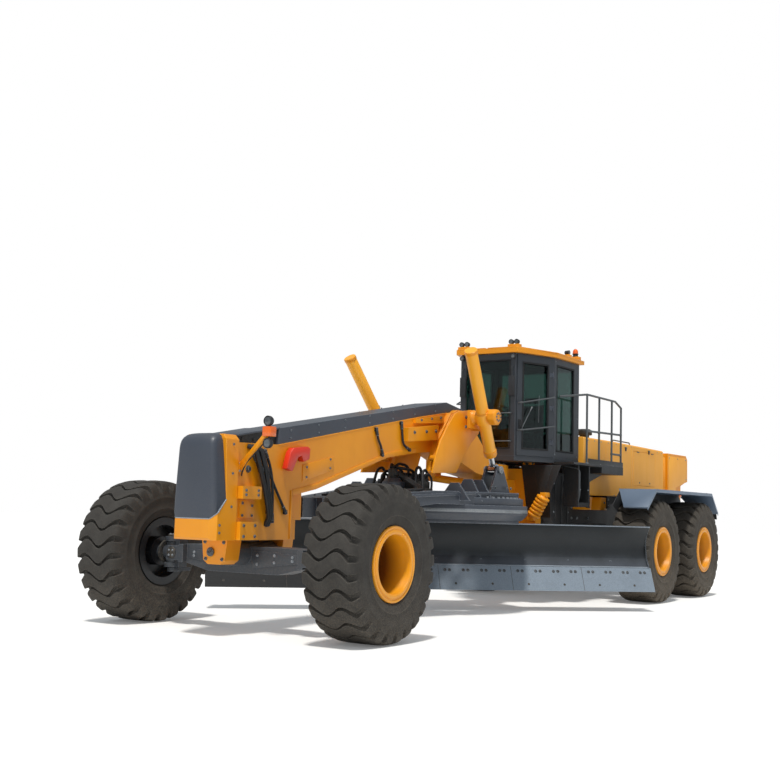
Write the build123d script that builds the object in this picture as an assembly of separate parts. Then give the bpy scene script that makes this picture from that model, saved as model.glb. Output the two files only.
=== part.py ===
from build123d import *
import math
import os

# Motor grader, millimetres, +X forward, +Y to the machine's left, +Z up.
# Stations below are measured from the front axle; the origin is on the ground at the
# middle of the machine's length, so every piece is moved forward by FRONT_AXLE_X.

# ---- driving dimensions -------------------------------------------------------------
FRONT_AXLE_X = 6520.0
WHEELBASE = 10400.0          # front axle to tandem centre
TANDEM_X = -WHEELBASE
TANDEM_SPACING = 2350.0
FRONT_TRACK = 3660.0
REAR_TRACK = 3450.0

TYRE_R = 937.5
TYRE_W = 750.0
BEAD_R = 368.0               # seat radius of the rim, 29 inch
FLANGE_R = 446.0
FLANGE_T = 26.0
RIM_W = 670.0
RIM_WALL = 22.0
DISC_T = 30.0
DISC_IN = 120.0              # disc's outer face, inboard of the tyre's middle
HUB_R = 190.0
HUB_LEN = 290.0
HUB_CAP = 60.0
SPINDLE_R = 92.0

RUN_GAP = 0.3                # radial clearance of a running fit
MOVE_GAP = 8.0               # clearance between pieces that pass each other
AXLE_Z = TYRE_R

BEAM_HALF = 300.0            # main beam, half width
LEG_FRONT_X = -6100.0        # beam's rear leg, behind the circle
HINGE_X = -6600.0            # articulation pin
HINGE_PIN_R = 90.0
HINGE_LOW = 1130.0
HINGE_HIGH = 2380.0
EAR_T = 230.0                # thickness of the hinge's upper and lower ears

CIRCLE_R = 1400.0
CIRCLE_X = LEG_FRONT_X + CIRCLE_R + 50.0
CIRCLE_BORE_R = 1150.0
CIRCLE_LOW = 1440.0
CIRCLE_HIGH = 1670.0
DRAWBAR_BALL = (-700.0, 0.0, 1560.0)
BALL_R = 105.0
DRAWBAR_PLATE_T = 110.0
DRAWBAR_PLATE_R = 1330.0
DRAWBAR_HOLE_R = 820.0
EAR_X = -4867.0              # lift cylinder eyes on the drawbar
EAR_Y = 849.0
EAR_Z = 2234.0

BLADE_ANGLE = 46.0           # left end trails
BLADE_LEN = 7315.0
BLADE_LOW = 330.0
BLADE_HIGH = 1400.0
BLADE_T = 32.0
EDGE_T = 30.0
EDGE_H = 380.0
END_BIT = 25.0               # edge sticks out past each end of the curved plate
TIP_N = -345.0               # tip hinge behind the blade's face line
TIP_Z = 620.0
RAIL = 80.0
LOW_RAIL_Z = 620.0
HIGH_RAIL_Z = 1240.0

TRUNNION = (-4290.0, 966.0, 3020.0)
LIFT_BARREL_R = 95.0
LIFT_ROD_R = 45.0
SHIFT_ANCHOR = (-5040.0, -400.0, 2110.0)
SHIFT_EYE = (-5090.0, 600.0, 1990.0)
FORK_GAP = 85.0              # half the room between a fork's plates
FORK_T = 30.0
SHIFT_LUG_GAP = 80.0         # half the room between the centre shift barrel's lugs
LIFT_ANGLES = (-10.5, 2.5)   # drawbar pitch at its low and high limits, degrees

CAB_FLOOR_Z = 2450.0
CAB_TOP_Z = 4300.0
CAB_WALL = 60.0
CAB_FRONT_X = -6200.0
CAB_WIDE_X = -7080.0
CAB_REAR_X = -8130.0
CAB_FRONT_HALF = 530.0
CAB_WIDE_HALF = 850.0
HOOD_HALF = 900.0
HOOD_FRONT_X = -8250.0
HOOD_REAR_X = TANDEM_X - 2010.0
HOUSING_FRONT_X = TANDEM_X - 2300.0   # radiator housing behind the hood
HOUSING_REAR_X = TANDEM_X - 3560.0
HOOD_TOP_Z = 2990.0
HOOD_LOW_Z = 1930.0
HOOD_WALL = 45.0
HOOD_REAR_Z = 2955.0
HOOD_EDGE = 25.0

SIDES = (("left", 1.0), ("right", -1.0))


# ---- helpers ------------------------------------------------------------------------
def box(x, y, z):
    """Block between three pairs of limits."""
    size = Box(abs(x[1] - x[0]), abs(y[1] - y[0]), abs(z[1] - z[0]))
    return Pos((x[0] + x[1]) / 2, (y[0] + y[1]) / 2, (z[0] + z[1]) / 2) * size


def prism(points, direction, length):
    """Polygon of 3-D points pushed along a direction."""
    face = Face(Wire.make_polygon([Vector(*p) for p in points], close=True))
    return extrude(face, amount=length, dir=direction)


def side_plate(points, y0, y1):
    """Outline of (x, z) points between two y planes."""
    return prism([(x, y0, z) for x, z in points], (0, 1, 0), y1 - y0)


def flat_plate(points, z0, z1):
    """Outline of (x, y) points between two heights."""
    return prism([(x, y, z0) for x, y in points], (0, 0, 1), z1 - z0)


def cross_plate(points, x0, x1):
    """Outline of (y, z) points between two x planes."""
    return prism([(x0, y, z) for y, z in points], (1, 0, 0), x1 - x0)


def rod(start, end, radius):
    """Round bar from one point to another."""
    a, b = Vector(*start), Vector(*end)
    plane = Plane(origin=a, z_dir=b - a)
    return plane * Cylinder(radius, (b - a).length, align=(Align.CENTER, Align.CENTER, Align.MIN))


def joined(*pieces):
    """One shape from pieces that overlap or touch."""
    whole = pieces[0]
    for piece in pieces[1:]:
        whole = whole + piece
    return whole


def mirrored(shape):
    return shape.mirror(Plane.XZ)


PARTS = {}


def keep(name, shape):
    PARTS[name] = Pos(FRONT_AXLE_X, 0, 0) * shape


# ---- wheels -------------------------------------------------------------------------
def tyre():
    """Tyre about the Y axis: flat tread, rounded shoulders, bead seats on the rim."""
    half, shoulder = TYRE_W / 2, 70.0
    bead = RIM_W / 2 - FLANGE_T
    wide_r = BEAD_R + 0.5 * (TYRE_R - BEAD_R)
    pts = [
        (BEAD_R, -bead),
        (FLANGE_R, -bead),
        (FLANGE_R + 30, -half + 25),
        (wide_r, -half),
        (TYRE_R - shoulder, -half + 15),
        (TYRE_R, -half + 15 + shoulder),
        (TYRE_R, half - 15 - shoulder),
        (TYRE_R - shoulder, half - 15),
        (wide_r, half),
        (FLANGE_R + 30, half - 25),
        (FLANGE_R, bead),
        (BEAD_R, bead),
    ]
    face = Face(Wire.make_polygon([Vector(r, y, 0) for r, y in pts], close=True))
    return revolve(face, Axis.Y, 360)


def rim():
    """Deep rim about the Y axis, its disc inboard and a hub bored for the spindle."""
    half = RIM_W / 2
    inner = BEAD_R - RIM_WALL
    disc_out = -DISC_IN
    pts = [
        (inner, -half),
        (FLANGE_R, -half),
        (FLANGE_R, -half + FLANGE_T),
        (BEAD_R, -half + FLANGE_T),
        (BEAD_R, half - FLANGE_T),
        (FLANGE_R, half - FLANGE_T),
        (FLANGE_R, half),
        (inner, half),
        (inner, disc_out),
        (HUB_R, disc_out),
        (HUB_R, disc_out + HUB_CAP),
        (0, disc_out + HUB_CAP),
        (0, disc_out + HUB_CAP - 25),
        (SPINDLE_R + RUN_GAP, disc_out + HUB_CAP - 25),
        (SPINDLE_R + RUN_GAP, -HUB_LEN),
        (HUB_R, -HUB_LEN),
        (HUB_R, disc_out - DISC_T),
        (inner, disc_out - DISC_T),
    ]
    face = Face(Wire.make_polygon([Vector(r, y, 0) for r, y in pts], close=True))
    return revolve(face, Axis.Y, 360)


# name, station, half track
WHEELS = (
    ("front", 0.0, FRONT_TRACK / 2),
    ("mid", TANDEM_X + TANDEM_SPACING / 2, REAR_TRACK / 2),
    ("rear", TANDEM_X - TANDEM_SPACING / 2, REAR_TRACK / 2),
)
SPINDLE_TIP = -DISC_IN + HUB_CAP - 25 - 10


def wheels():
    for place, x, half_track in WHEELS:
        for side, sign in SIDES:
            for kind, shape in (("tyre", tyre()), ("rim", rim())):
                placed = Pos(x, half_track, AXLE_Z) * shape
                keep(f"{kind}_{place}_{side}", placed if sign > 0 else mirrored(placed))


# ---- front axle ---------------------------------------------------------------------
LEAN_Y = 1130.0
LEAN_Z = AXLE_Z
LEAN_PIN_R = 50.0
KING_Y = 1320.0
KING_R = 48.0
KING_EAR_R = 118.0
KING_EAR_LOW = 140.0         # ears start this far from the wheel's centre height
KING_EAR_T = 60.0
AXLE_PIN_Z = 975.0
AXLE_PIN_R = 70.0
AXLE_HALF = 160.0
AXLE_TOP = 1065.0            # low enough for the beam when the axle oscillates


def front_axle():
    """Beam with a long centre trunnion tube and a fork at each end."""
    outline = [
        (-LEAN_Y + 180, AXLE_Z + 120),
        (-500, AXLE_TOP),
        (500, AXLE_TOP),
        (LEAN_Y - 180, AXLE_Z + 120),
        (LEAN_Y - 180, AXLE_Z - 120),
        (560, 730),
        (-560, 730),
        (-LEAN_Y + 180, AXLE_Z - 120),
    ]
    beam = cross_plate(outline, -AXLE_HALF, AXLE_HALF)
    trunnion = rod((-390, 0, AXLE_PIN_Z), (420, 0, AXLE_PIN_Z), 150)
    axle = beam + trunnion
    for y, out in ((LEAN_Y, 1), (-LEAN_Y, -1)):
        for x in (215, -215):
            axle = axle + box((x - 30, x + 30), (y - 90, y + 60), (AXLE_Z - 90, AXLE_Z + 90))
            axle = axle + box((x - 30, x + 30), (y - out * 120, y - out * 60), (AXLE_Z - 90, AXLE_Z + 90))
        yoke = box((-245, 245), (y - out * 200, y - out * 120), (AXLE_Z - 115, AXLE_Z + 115))
        axle = axle + yoke
        axle = axle - rod((-300, y, LEAN_Z), (300, y, LEAN_Z), LEAN_PIN_R + RUN_GAP)
    axle = axle - rod((-500, 0, AXLE_PIN_Z), (500, 0, AXLE_PIN_Z), AXLE_PIN_R + RUN_GAP)
    return axle


def lean_carrier():
    """Carries one kingpin and leans on the axle's end pin; left side."""
    boss = rod((-180, LEAN_Y, LEAN_Z), (180, LEAN_Y, LEAN_Z), 95)
    pin = rod((-245, LEAN_Y, LEAN_Z), (245, LEAN_Y, LEAN_Z), LEAN_PIN_R)
    tall = KING_EAR_LOW + KING_EAR_T
    web = box((-75, 75), (LEAN_Y + 20, KING_Y - 95 - MOVE_GAP), (AXLE_Z - tall, AXLE_Z + tall))
    carrier = joined(boss, pin, web)
    for low in (KING_EAR_LOW, -KING_EAR_LOW - KING_EAR_T):
        z = (AXLE_Z + low, AXLE_Z + low + KING_EAR_T)
        carrier = carrier + rod((0, KING_Y, z[0]), (0, KING_Y, z[1]), KING_EAR_R)
        carrier = carrier + box((-75, 75), (LEAN_Y + 40, KING_Y), z)
    reach = tall + 20
    kingpin = rod((0, KING_Y, AXLE_Z - reach), (0, KING_Y, AXLE_Z + reach), KING_R + RUN_GAP)
    return carrier - kingpin


STEER_ARM_LEN = 280.0
STEER_ARM_T = 45.0


def knuckle():
    """Kingpin, block and spindle in one forging, its steering arm at the pin's foot; left side."""
    reach = KING_EAR_LOW + KING_EAR_T + 15
    pin = rod((0, KING_Y, AXLE_Z - reach), (0, KING_Y, AXLE_Z + reach), KING_R)
    tall = KING_EAR_LOW - MOVE_GAP
    block = rod((0, KING_Y, AXLE_Z - tall), (0, KING_Y, AXLE_Z + tall), 95)
    tip = FRONT_TRACK / 2 + SPINDLE_TIP
    spindle = rod((0, KING_Y, AXLE_Z), (0, tip, AXLE_Z), SPINDLE_R)
    low, high = AXLE_Z - reach - STEER_ARM_T, AXLE_Z - reach
    boss = rod((0, KING_Y, low), (0, KING_Y, high), 75)
    arm = flat_plate([(0, KING_Y - 60), (0, KING_Y + 60), (-STEER_ARM_LEN, KING_Y + 38),
                      (-STEER_ARM_LEN, KING_Y - 38)], low, high)
    eye = rod((-STEER_ARM_LEN, KING_Y, low), (-STEER_ARM_LEN, KING_Y, high), 38)
    return joined(pin, block, spindle, boss, arm, eye)


# ---- rear axle and tandems ------------------------------------------------------------
CASE_IN_Y = 1010.0
CASE_OUT_Y = 1300.0
CASE_HALF_H = 250.0
AXLE_TUBE_R = 230.0


def rear_axle():
    tube = rod((TANDEM_X, -CASE_OUT_Y + 40, AXLE_Z), (TANDEM_X, CASE_OUT_Y - 40, AXLE_Z), AXLE_TUBE_R)
    bowl = rod((TANDEM_X - 300, 0, AXLE_Z), (TANDEM_X + 340, 0, AXLE_Z), 330)
    saddle = box((TANDEM_X - 260, TANDEM_X + 260), (-560, 560), (AXLE_Z, RAIL_LOW))
    return joined(tube, bowl, saddle)


def tandem_case():
    """Chain case of the left side with its two wheel spindles and fender post."""
    half = TANDEM_SPACING / 2
    body = box((TANDEM_X - half, TANDEM_X + half), (CASE_IN_Y, CASE_OUT_Y),
               (AXLE_Z - CASE_HALF_H, AXLE_Z + CASE_HALF_H))
    case = body
    for x in (TANDEM_X - half, TANDEM_X + half):
        case = case + rod((x, CASE_IN_Y, AXLE_Z), (x, CASE_OUT_Y, AXLE_Z), CASE_HALF_H)
        case = case + rod((x, CASE_OUT_Y, AXLE_Z), (x, REAR_TRACK / 2 + SPINDLE_TIP, AXLE_Z), SPINDLE_R)
    bore = rod((TANDEM_X, CASE_IN_Y - 10, AXLE_Z), (TANDEM_X, CASE_OUT_Y - 30, AXLE_Z),
               AXLE_TUBE_R + RUN_GAP)
    post = box((TANDEM_X - 90, TANDEM_X + 90), (CASE_OUT_Y - 60, CASE_OUT_Y), (AXLE_Z, FENDER_Z - FENDER_T))
    return case - bore + (post - bore)


FENDER_Z = 2060.0
FENDER_T = 30.0
FENDER_IN_Y = 1380.0
FENDER_OUT_Y = 2100.0


def fender():
    """Left fender: top plate with a sloping flap at each end."""
    low = FENDER_Z - FENDER_T
    outer = [(2060, 1730), (1620, FENDER_Z), (-1550, FENDER_Z), (-1960, 1670)]
    inner = [(-1930, 1655), (-1535, low), (1605, low), (2030, 1715)]
    skin = side_plate([(TANDEM_X + x, z) for x, z in outer + inner], FENDER_IN_Y, FENDER_OUT_Y)
    brace = box((TANDEM_X - 60, TANDEM_X + 60), (CASE_OUT_Y, FENDER_OUT_Y - 60), (low - 60, low))
    return skin + brace


# ---- rear frame -------------------------------------------------------------------------
RAIL_LOW = 1400.0
RAIL_HIGH = 1800.0
RAIL_IN = 430.0
RAIL_OUT = 580.0
REAR_END = TANDEM_X - 3470.0
TOW_X = REAR_END - 170
TOW_Z = 1480.0
TOW_MOUTH = 100.0            # room between the clevis ears
TOW_EAR_T = 45.0
TOW_PIN_R = 32.0


def rear_frame():
    """Two rails, cross members, the hinge tongue with its pin, and the rear bumper."""
    rails = [box((REAR_END, -6950), (sign * RAIL_IN, sign * RAIL_OUT), (RAIL_LOW, RAIL_HIGH))
             for sign in (1, -1)]
    crosses = [box((x - 90, x + 90), (-RAIL_IN - 20, RAIL_IN + 20), (RAIL_LOW + 30, RAIL_HIGH - 30))
               for x in (-8300, TANDEM_X, HOUSING_FRONT_X)]
    head = box((-7150, -6950), (-RAIL_OUT, RAIL_OUT), (HINGE_LOW + 60, 2340))
    tongue_z = (HINGE_LOW + EAR_T + MOVE_GAP, HINGE_HIGH - EAR_T - MOVE_GAP)
    tongue = box((-6990, HINGE_X), (-170, 170), tongue_z)
    nose = rod((HINGE_X, 0, tongue_z[0]), (HINGE_X, 0, tongue_z[1]), 170)
    pin = rod((HINGE_X, 0, HINGE_LOW - 25), (HINGE_X, 0, HINGE_HIGH + 15), HINGE_PIN_R)
    bumper = box((REAR_END - 90, REAR_END + 10), (-900, 900), (1330, 1900))
    tow = joined(*[box((REAR_END - 250, REAR_END - 80), (-130, 130), (z, z + TOW_EAR_T))
                   for z in (TOW_Z - TOW_MOUTH / 2 - TOW_EAR_T, TOW_Z + TOW_MOUTH / 2)])
    tow = tow - rod((TOW_X, 0, TOW_Z - 200), (TOW_X, 0, TOW_Z + 200), TOW_PIN_R)
    carriers = []
    for sign in (1, -1):
        for x in (-8520, -9450, HOOD_REAR_X + 110, REAR_END + 470):
            carriers.append(box((x - 60, x + 60), (sign * (RAIL_OUT - 10), sign * (HOOD_HALF - 10)),
                                (RAIL_HIGH - 110, HOOD_LOW_Z)))
        carriers.append(box((-8130, -8010), (sign * RAIL_IN, sign * RAIL_OUT), (RAIL_HIGH - 10, CAB_FLOOR_Z)))
        carriers.append(box((-7150, -7000), (sign * 300, sign * 450), (2330, CAB_FLOOR_Z)))
    return joined(head, tongue, nose, pin, bumper, tow, *rails, *crosses, *carriers)


def engine_block():
    return box((HOOD_REAR_X + 60, HOOD_REAR_X + 2460), (-RAIL_OUT + 60, RAIL_OUT - 60), (RAIL_HIGH, 2650))


DOOR_LOW = 2180.0
DOOR_HIGH = 2860.0
DOOR_FRONT = HOOD_REAR_X + 1680.0     # one engine door in each side of the hood
DOOR_REAR = HOOD_REAR_X + 480.0
DOOR_GAP = 6.0
DOOR_T = 28.0
DOOR_LAP = 40.0              # door covers the ledge of its opening by this much


def engine_hood():
    """Hood shell open below, with an opening for a door in each side."""
    outline = [
        (HOOD_FRONT_X, HOOD_TOP_Z), (-9800, HOOD_TOP_Z), (HOOD_REAR_X, HOOD_REAR_Z),
        (HOOD_REAR_X, HOOD_LOW_Z), (-8380, HOOD_LOW_Z),
        (-8380, 2125), (-8850, 2275), (-9300, 2380), (-9300, 2480), (HOOD_FRONT_X, 2500),
    ]
    solid = side_plate(outline, -HOOD_HALF, HOOD_HALF)
    solid = chamfer(solid.edges().filter_by(Axis.X, tolerance=2).group_by(Axis.Z)[-1], HOOD_EDGE)
    room = side_plate(
        [(HOOD_FRONT_X - 60, HOOD_TOP_Z - HOOD_WALL), (-9800, HOOD_TOP_Z - HOOD_WALL),
         (HOOD_REAR_X + HOOD_WALL, HOOD_REAR_Z - HOOD_WALL), (HOOD_REAR_X + HOOD_WALL, HOOD_LOW_Z - 100),
         (-9640, HOOD_LOW_Z - 100), (-9640, 2540), (HOOD_FRONT_X - 60, 2550)],
        -HOOD_HALF + HOOD_WALL, HOOD_HALF - HOOD_WALL)
    hood = solid - room
    ledge = HOOD_HALF - DOOR_T - RUN_GAP
    for sign in (1, -1):
        hood = hood - box((DOOR_REAR - DOOR_GAP, DOOR_FRONT + DOOR_GAP),
                          (sign * ledge, sign * (HOOD_HALF + 1)),
                          (DOOR_LOW - DOOR_GAP, DOOR_HIGH + DOOR_GAP))
        hood = hood - box((DOOR_REAR + DOOR_LAP, DOOR_FRONT - DOOR_LAP),
                          (sign * (HOOD_HALF - HOOD_WALL - 1), sign * (ledge + 1)),
                          (DOOR_LOW + DOOR_LAP, DOOR_HIGH - DOOR_LAP))
    return hood


def hood_door():
    """Left side door, hinged along its upper edge."""
    return box((DOOR_REAR, DOOR_FRONT), (HOOD_HALF - DOOR_T, HOOD_HALF), (DOOR_LOW, DOOR_HIGH))


def rear_grille():
    """Radiator housing behind the hood: a narrower neck, a box and the grille in its back."""
    neck = box((HOUSING_FRONT_X - 10, HOOD_REAR_X), (-HOOD_HALF + 60, HOOD_HALF - 60), (HOOD_LOW_Z, 2880))
    side = [(HOUSING_FRONT_X, HOOD_LOW_Z), (HOUSING_FRONT_X, 2925), (HOUSING_REAR_X + 90, 2925),
            (HOUSING_REAR_X, 2840), (HOUSING_REAR_X, 2350), (HOUSING_REAR_X + 160, 2325),
            (HOUSING_REAR_X + 710, 2174), (HOUSING_REAR_X + 710, HOOD_LOW_Z)]
    shell = side_plate(side, -HOOD_HALF, HOOD_HALF)
    skirt = box((HOUSING_REAR_X + 180, HOUSING_REAR_X + 710), (-HOOD_HALF + 90, HOOD_HALF - 90),
                (HOOD_LOW_Z, 2330))
    well = box((HOUSING_REAR_X - 10, HOUSING_REAR_X + 70), (-700, 700), (2400, 2780))
    bars = [box((HOUSING_REAR_X + 10, HOUSING_REAR_X + 71), (-705, 705), (z - 12, z + 12))
            for z in range(2440, 2760, 80)]
    return joined(shell - well, neck, skirt, *bars)


def fuel_tank():
    """Dark belly tank between the hinge and the rear wheels."""
    outline = [(-7170, 2300), (-7170, 1500), (-7500, 1180), (-7990, 1180), (-7990, 2300)]
    tank = side_plate(outline, -760, 760)
    for sign in (1, -1):
        tank = tank - box((REAR_END, -6940), (sign * RAIL_IN, sign * RAIL_OUT), (RAIL_LOW, RAIL_HIGH))
    return tank


WALK_Z = 2430.0


def walkways():
    """Deck plate on each side of the cab with its steps."""
    deck = box((-9320, -7080), (CAB_WIDE_HALF, 1240), (WALK_Z, WALK_Z + 40))
    skirt = box((-9320, -8300), (HOOD_HALF + 20, 1240), (WALK_Z - 110, WALK_Z))
    deck = deck - box((-9400, HOOD_FRONT_X), (0, HOOD_HALF), (WALK_Z - 1, WALK_Z + 50))
    step = box((-7900, -7400), (900, 1180), (1700, 1740))
    hanger = box((-7440, -7400), (900, 1180), (1700, WALK_Z))
    hanger2 = box((-7900, -7860), (900, 1180), (1700, WALK_Z))
    left = joined(deck, skirt, step, hanger, hanger2)
    return left + mirrored(left)


def handrails():
    """Rail around each rear deck, its lower bar, posts, end loop and hood top grip."""
    r = 19.0
    top = [(-7300, CAB_WIDE_HALF, 3640), (-7700, 1200, 3700), (-9000, 1200, 3690), (-9290, 1200, 3590),
           (-9290, 1200, WALK_Z + 40)]
    pieces = [rod(a, b, r) for a, b in zip(top, top[1:])]
    pieces += [Pos(*p) * Sphere(r) for p in top[1:-1]]
    pieces += [rod((x, 1200, WALK_Z + 40), (x, 1200, 3695), r) for x in (-7700, -8250, -8840)]
    pieces += [rod((-7700, 1200, 3050), (-9290, 1200, 3080), r)]
    pieces += [rod((-8840, 1200, 2700), (-9290, 1200, 2700), r)]
    left = joined(*pieces)
    return left + mirrored(left)


# ---- cab --------------------------------------------------------------------------------
def cab_plan(grow=0.0):
    front, wide = CAB_FRONT_HALF + grow, CAB_WIDE_HALF + grow
    half = [(CAB_FRONT_X + grow, front), (CAB_WIDE_X, wide), (CAB_REAR_X - grow, wide)]
    return half + [(x, -y) for x, y in reversed(half)]


def cab_floor():
    return flat_plate(cab_plan(), CAB_FLOOR_Z, CAB_FLOOR_Z + 90)


ROOF_T = 90.0
VISOR = 70.0                 # overhang past the cab's walls


def cab_roof():
    """Roof plate that falls toward the rear, over a band that seats on the cab."""
    plan = flat_plate(cab_plan(VISOR), CAB_TOP_Z, CAB_TOP_Z + 300)
    fall = [(CAB_FRONT_X + VISOR + 10, CAB_TOP_Z), (CAB_FRONT_X + VISOR + 10, CAB_TOP_Z + ROOF_T),
            (CAB_REAR_X - VISOR - 10, CAB_TOP_Z + ROOF_T - 30), (CAB_REAR_X - VISOR - 10, CAB_TOP_Z)]
    return plan & side_plate(fall, -1200, 1200)


POST = 90.0


def cab_frame():
    """Posts at the plan's corners, sill and header rings, rear lower wall."""
    low, high = CAB_FLOOR_Z + 90, CAB_TOP_Z
    outer = flat_plate(cab_plan(), low, high)
    inner = flat_plate(cab_plan(-CAB_WALL), low - 1, high + 1)
    shell = outer - inner
    sill, head = low + 110, high - 110
    # front window, side windows behind the doors, rear window
    shell = shell - box((CAB_FRONT_X - 150, CAB_FRONT_X + 20), (-CAB_FRONT_HALF + POST, CAB_FRONT_HALF - POST),
                        (sill, head))
    shell = shell - box((CAB_REAR_X + POST + 130, CAB_WIDE_X - POST), (-2000, 2000), (sill, head))
    shell = shell - box((CAB_REAR_X - 20, CAB_REAR_X + 100), (-CAB_WIDE_HALF + POST, CAB_WIDE_HALF - POST),
                        (sill + 350, head))
    for sign in (1, -1):
        shell = shell - door_slab(sign, DOOR_EDGE, low + DOOR_SILL, high - DOOR_HEAD, 200.0)
    return shell


DOOR_EDGE = 80.0             # door's edges from the corners of the slanted side
DOOR_SILL = 20.0
DOOR_HEAD = 60.0
SLANT = math.hypot(CAB_FRONT_X - CAB_WIDE_X, CAB_WIDE_HALF - CAB_FRONT_HALF)
SLANT_DIR = ((CAB_FRONT_X - CAB_WIDE_X) / SLANT, (CAB_FRONT_HALF - CAB_WIDE_HALF) / SLANT)
SLANT_OUT = (-SLANT_DIR[1], SLANT_DIR[0])


def slant_point(along, out):
    """Point on the left slanted side: along it from the wide corner, and outward."""
    return (CAB_WIDE_X + along * SLANT_DIR[0] + out * SLANT_OUT[0],
            CAB_WIDE_HALF + along * SLANT_DIR[1] + out * SLANT_OUT[1])


def door_slab(sign, edge, low, high, thick, centre=-CAB_WALL / 2):
    """Upright slab in the slanted side wall."""
    ends = (edge, SLANT - edge)
    outs = (centre - thick / 2, centre + thick / 2)
    pts = [slant_point(ends[0], outs[0]), slant_point(ends[1], outs[0]),
           slant_point(ends[1], outs[1]), slant_point(ends[0], outs[1])]
    slab = flat_plate(pts, low, high)
    return slab if sign > 0 else mirrored(slab)


FLANGE_LAP = 40.0            # door flange over the frame around its opening
FLANGE_OUT = 15.0


def door_limits():
    return CAB_FLOOR_Z + 90 + DOOR_SILL + 8, CAB_TOP_Z - DOOR_HEAD - 8


def cab_door(sign):
    """Door that fills its opening and laps the frame with a thin outer flange."""
    low, high = door_limits()
    slab = door_slab(sign, DOOR_EDGE + 10, low, high, CAB_WALL + RUN_GAP, -(CAB_WALL - RUN_GAP) / 2)
    flange = door_slab(sign, DOOR_EDGE - FLANGE_LAP, low - 20, high + FLANGE_LAP, FLANGE_OUT,
                       RUN_GAP + FLANGE_OUT / 2)
    hole = door_slab(sign, DOOR_EDGE + 80, low + 90, high - 80, 300.0)
    return slab + flange - hole


def door_glass(sign):
    low, high = door_limits()
    return door_slab(sign, DOOR_EDGE + 80, low + 90, high - 80, 10.0)


def cab_windows():
    """Front, rear and side panes, 10 mm thick, inside the walls."""
    low, high = CAB_FLOOR_Z + 90 + 110, CAB_TOP_Z - 110
    front_half, wide_half = CAB_FRONT_HALF - POST, CAB_WIDE_HALF - POST
    front = box((CAB_FRONT_X - 35, CAB_FRONT_X - 25), (-front_half, front_half), (low, high))
    rear = box((CAB_REAR_X + 25, CAB_REAR_X + 35), (-wide_half, wide_half), (low + 350, high))
    side = box((CAB_REAR_X + POST + 130, CAB_WIDE_X - POST), (CAB_WIDE_HALF - 35, CAB_WIDE_HALF - 25),
               (low, high))
    return front + rear + side + mirrored(side)


def cab_lamps():
    """Twin lamps on the front roof corners, one on each rear corner, and a beacon."""
    top = CAB_TOP_Z + ROOF_T
    pieces = []
    for sign in (1, -1):
        base = box((-6290, -6170), (sign * 380, sign * 600), (top - 30, top + 60))
        twin = [box((-6270, -6190), (sign * y, sign * (y + 80)), (top + 55, top + 150)) for y in (395, 500)]
        rear_base = box((-7700, -7580), (sign * 760, sign * 900), (top - 40, top + 40))
        rear_lamp = box((-7680, -7600), (sign * 780, sign * 880), (top + 35, top + 120))
        pieces += [base, *twin, rear_base, rear_lamp]
    stand = box((-8170, -8050), (700, 870), (top - 60, top + 60))
    beacon = rod((-8110, 780, top + 50), (-8110, 780, top + 210), 60)
    return joined(*pieces, stand, beacon) - cab_roof()


def operator_seat():
    base = box((-7750, -7350), (-180, 180), (CAB_FLOOR_Z + 90, 2900))
    cushion = box((-7850, -7300), (-260, 260), (2900, 3040))
    back = box((-7950, -7850), (-250, 250), (2900, 3700))
    return joined(base, cushion, back)


def control_console():
    post = box((-6700, -6500), (-120, 120), (CAB_FLOOR_Z + 90, 3100))
    dash = box((-6720, -6420), (-260, 260), (3100, 3240))
    return joined(post, dash)


# ---- front frame ------------------------------------------------------------------------
SIDE_BLOCKS = (              # station limits, height limits, how far out from the beam
    ((340.0, 690.0), (1650.0, 1805.0), 120.0),
    ((360.0, 690.0), (1155.0, 1375.0), 100.0),
)
SIDE_BARS = (                # outline along the beam, how far out from the beam
    (((-3306, 2868), (-3306, 2937), (-4120, 3050), (-4120, 2925)), 60.0),
    (((-3012, 2575), (-3012, 2778), (-3880, 2880), (-3880, 2650)), 110.0),
)


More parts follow.
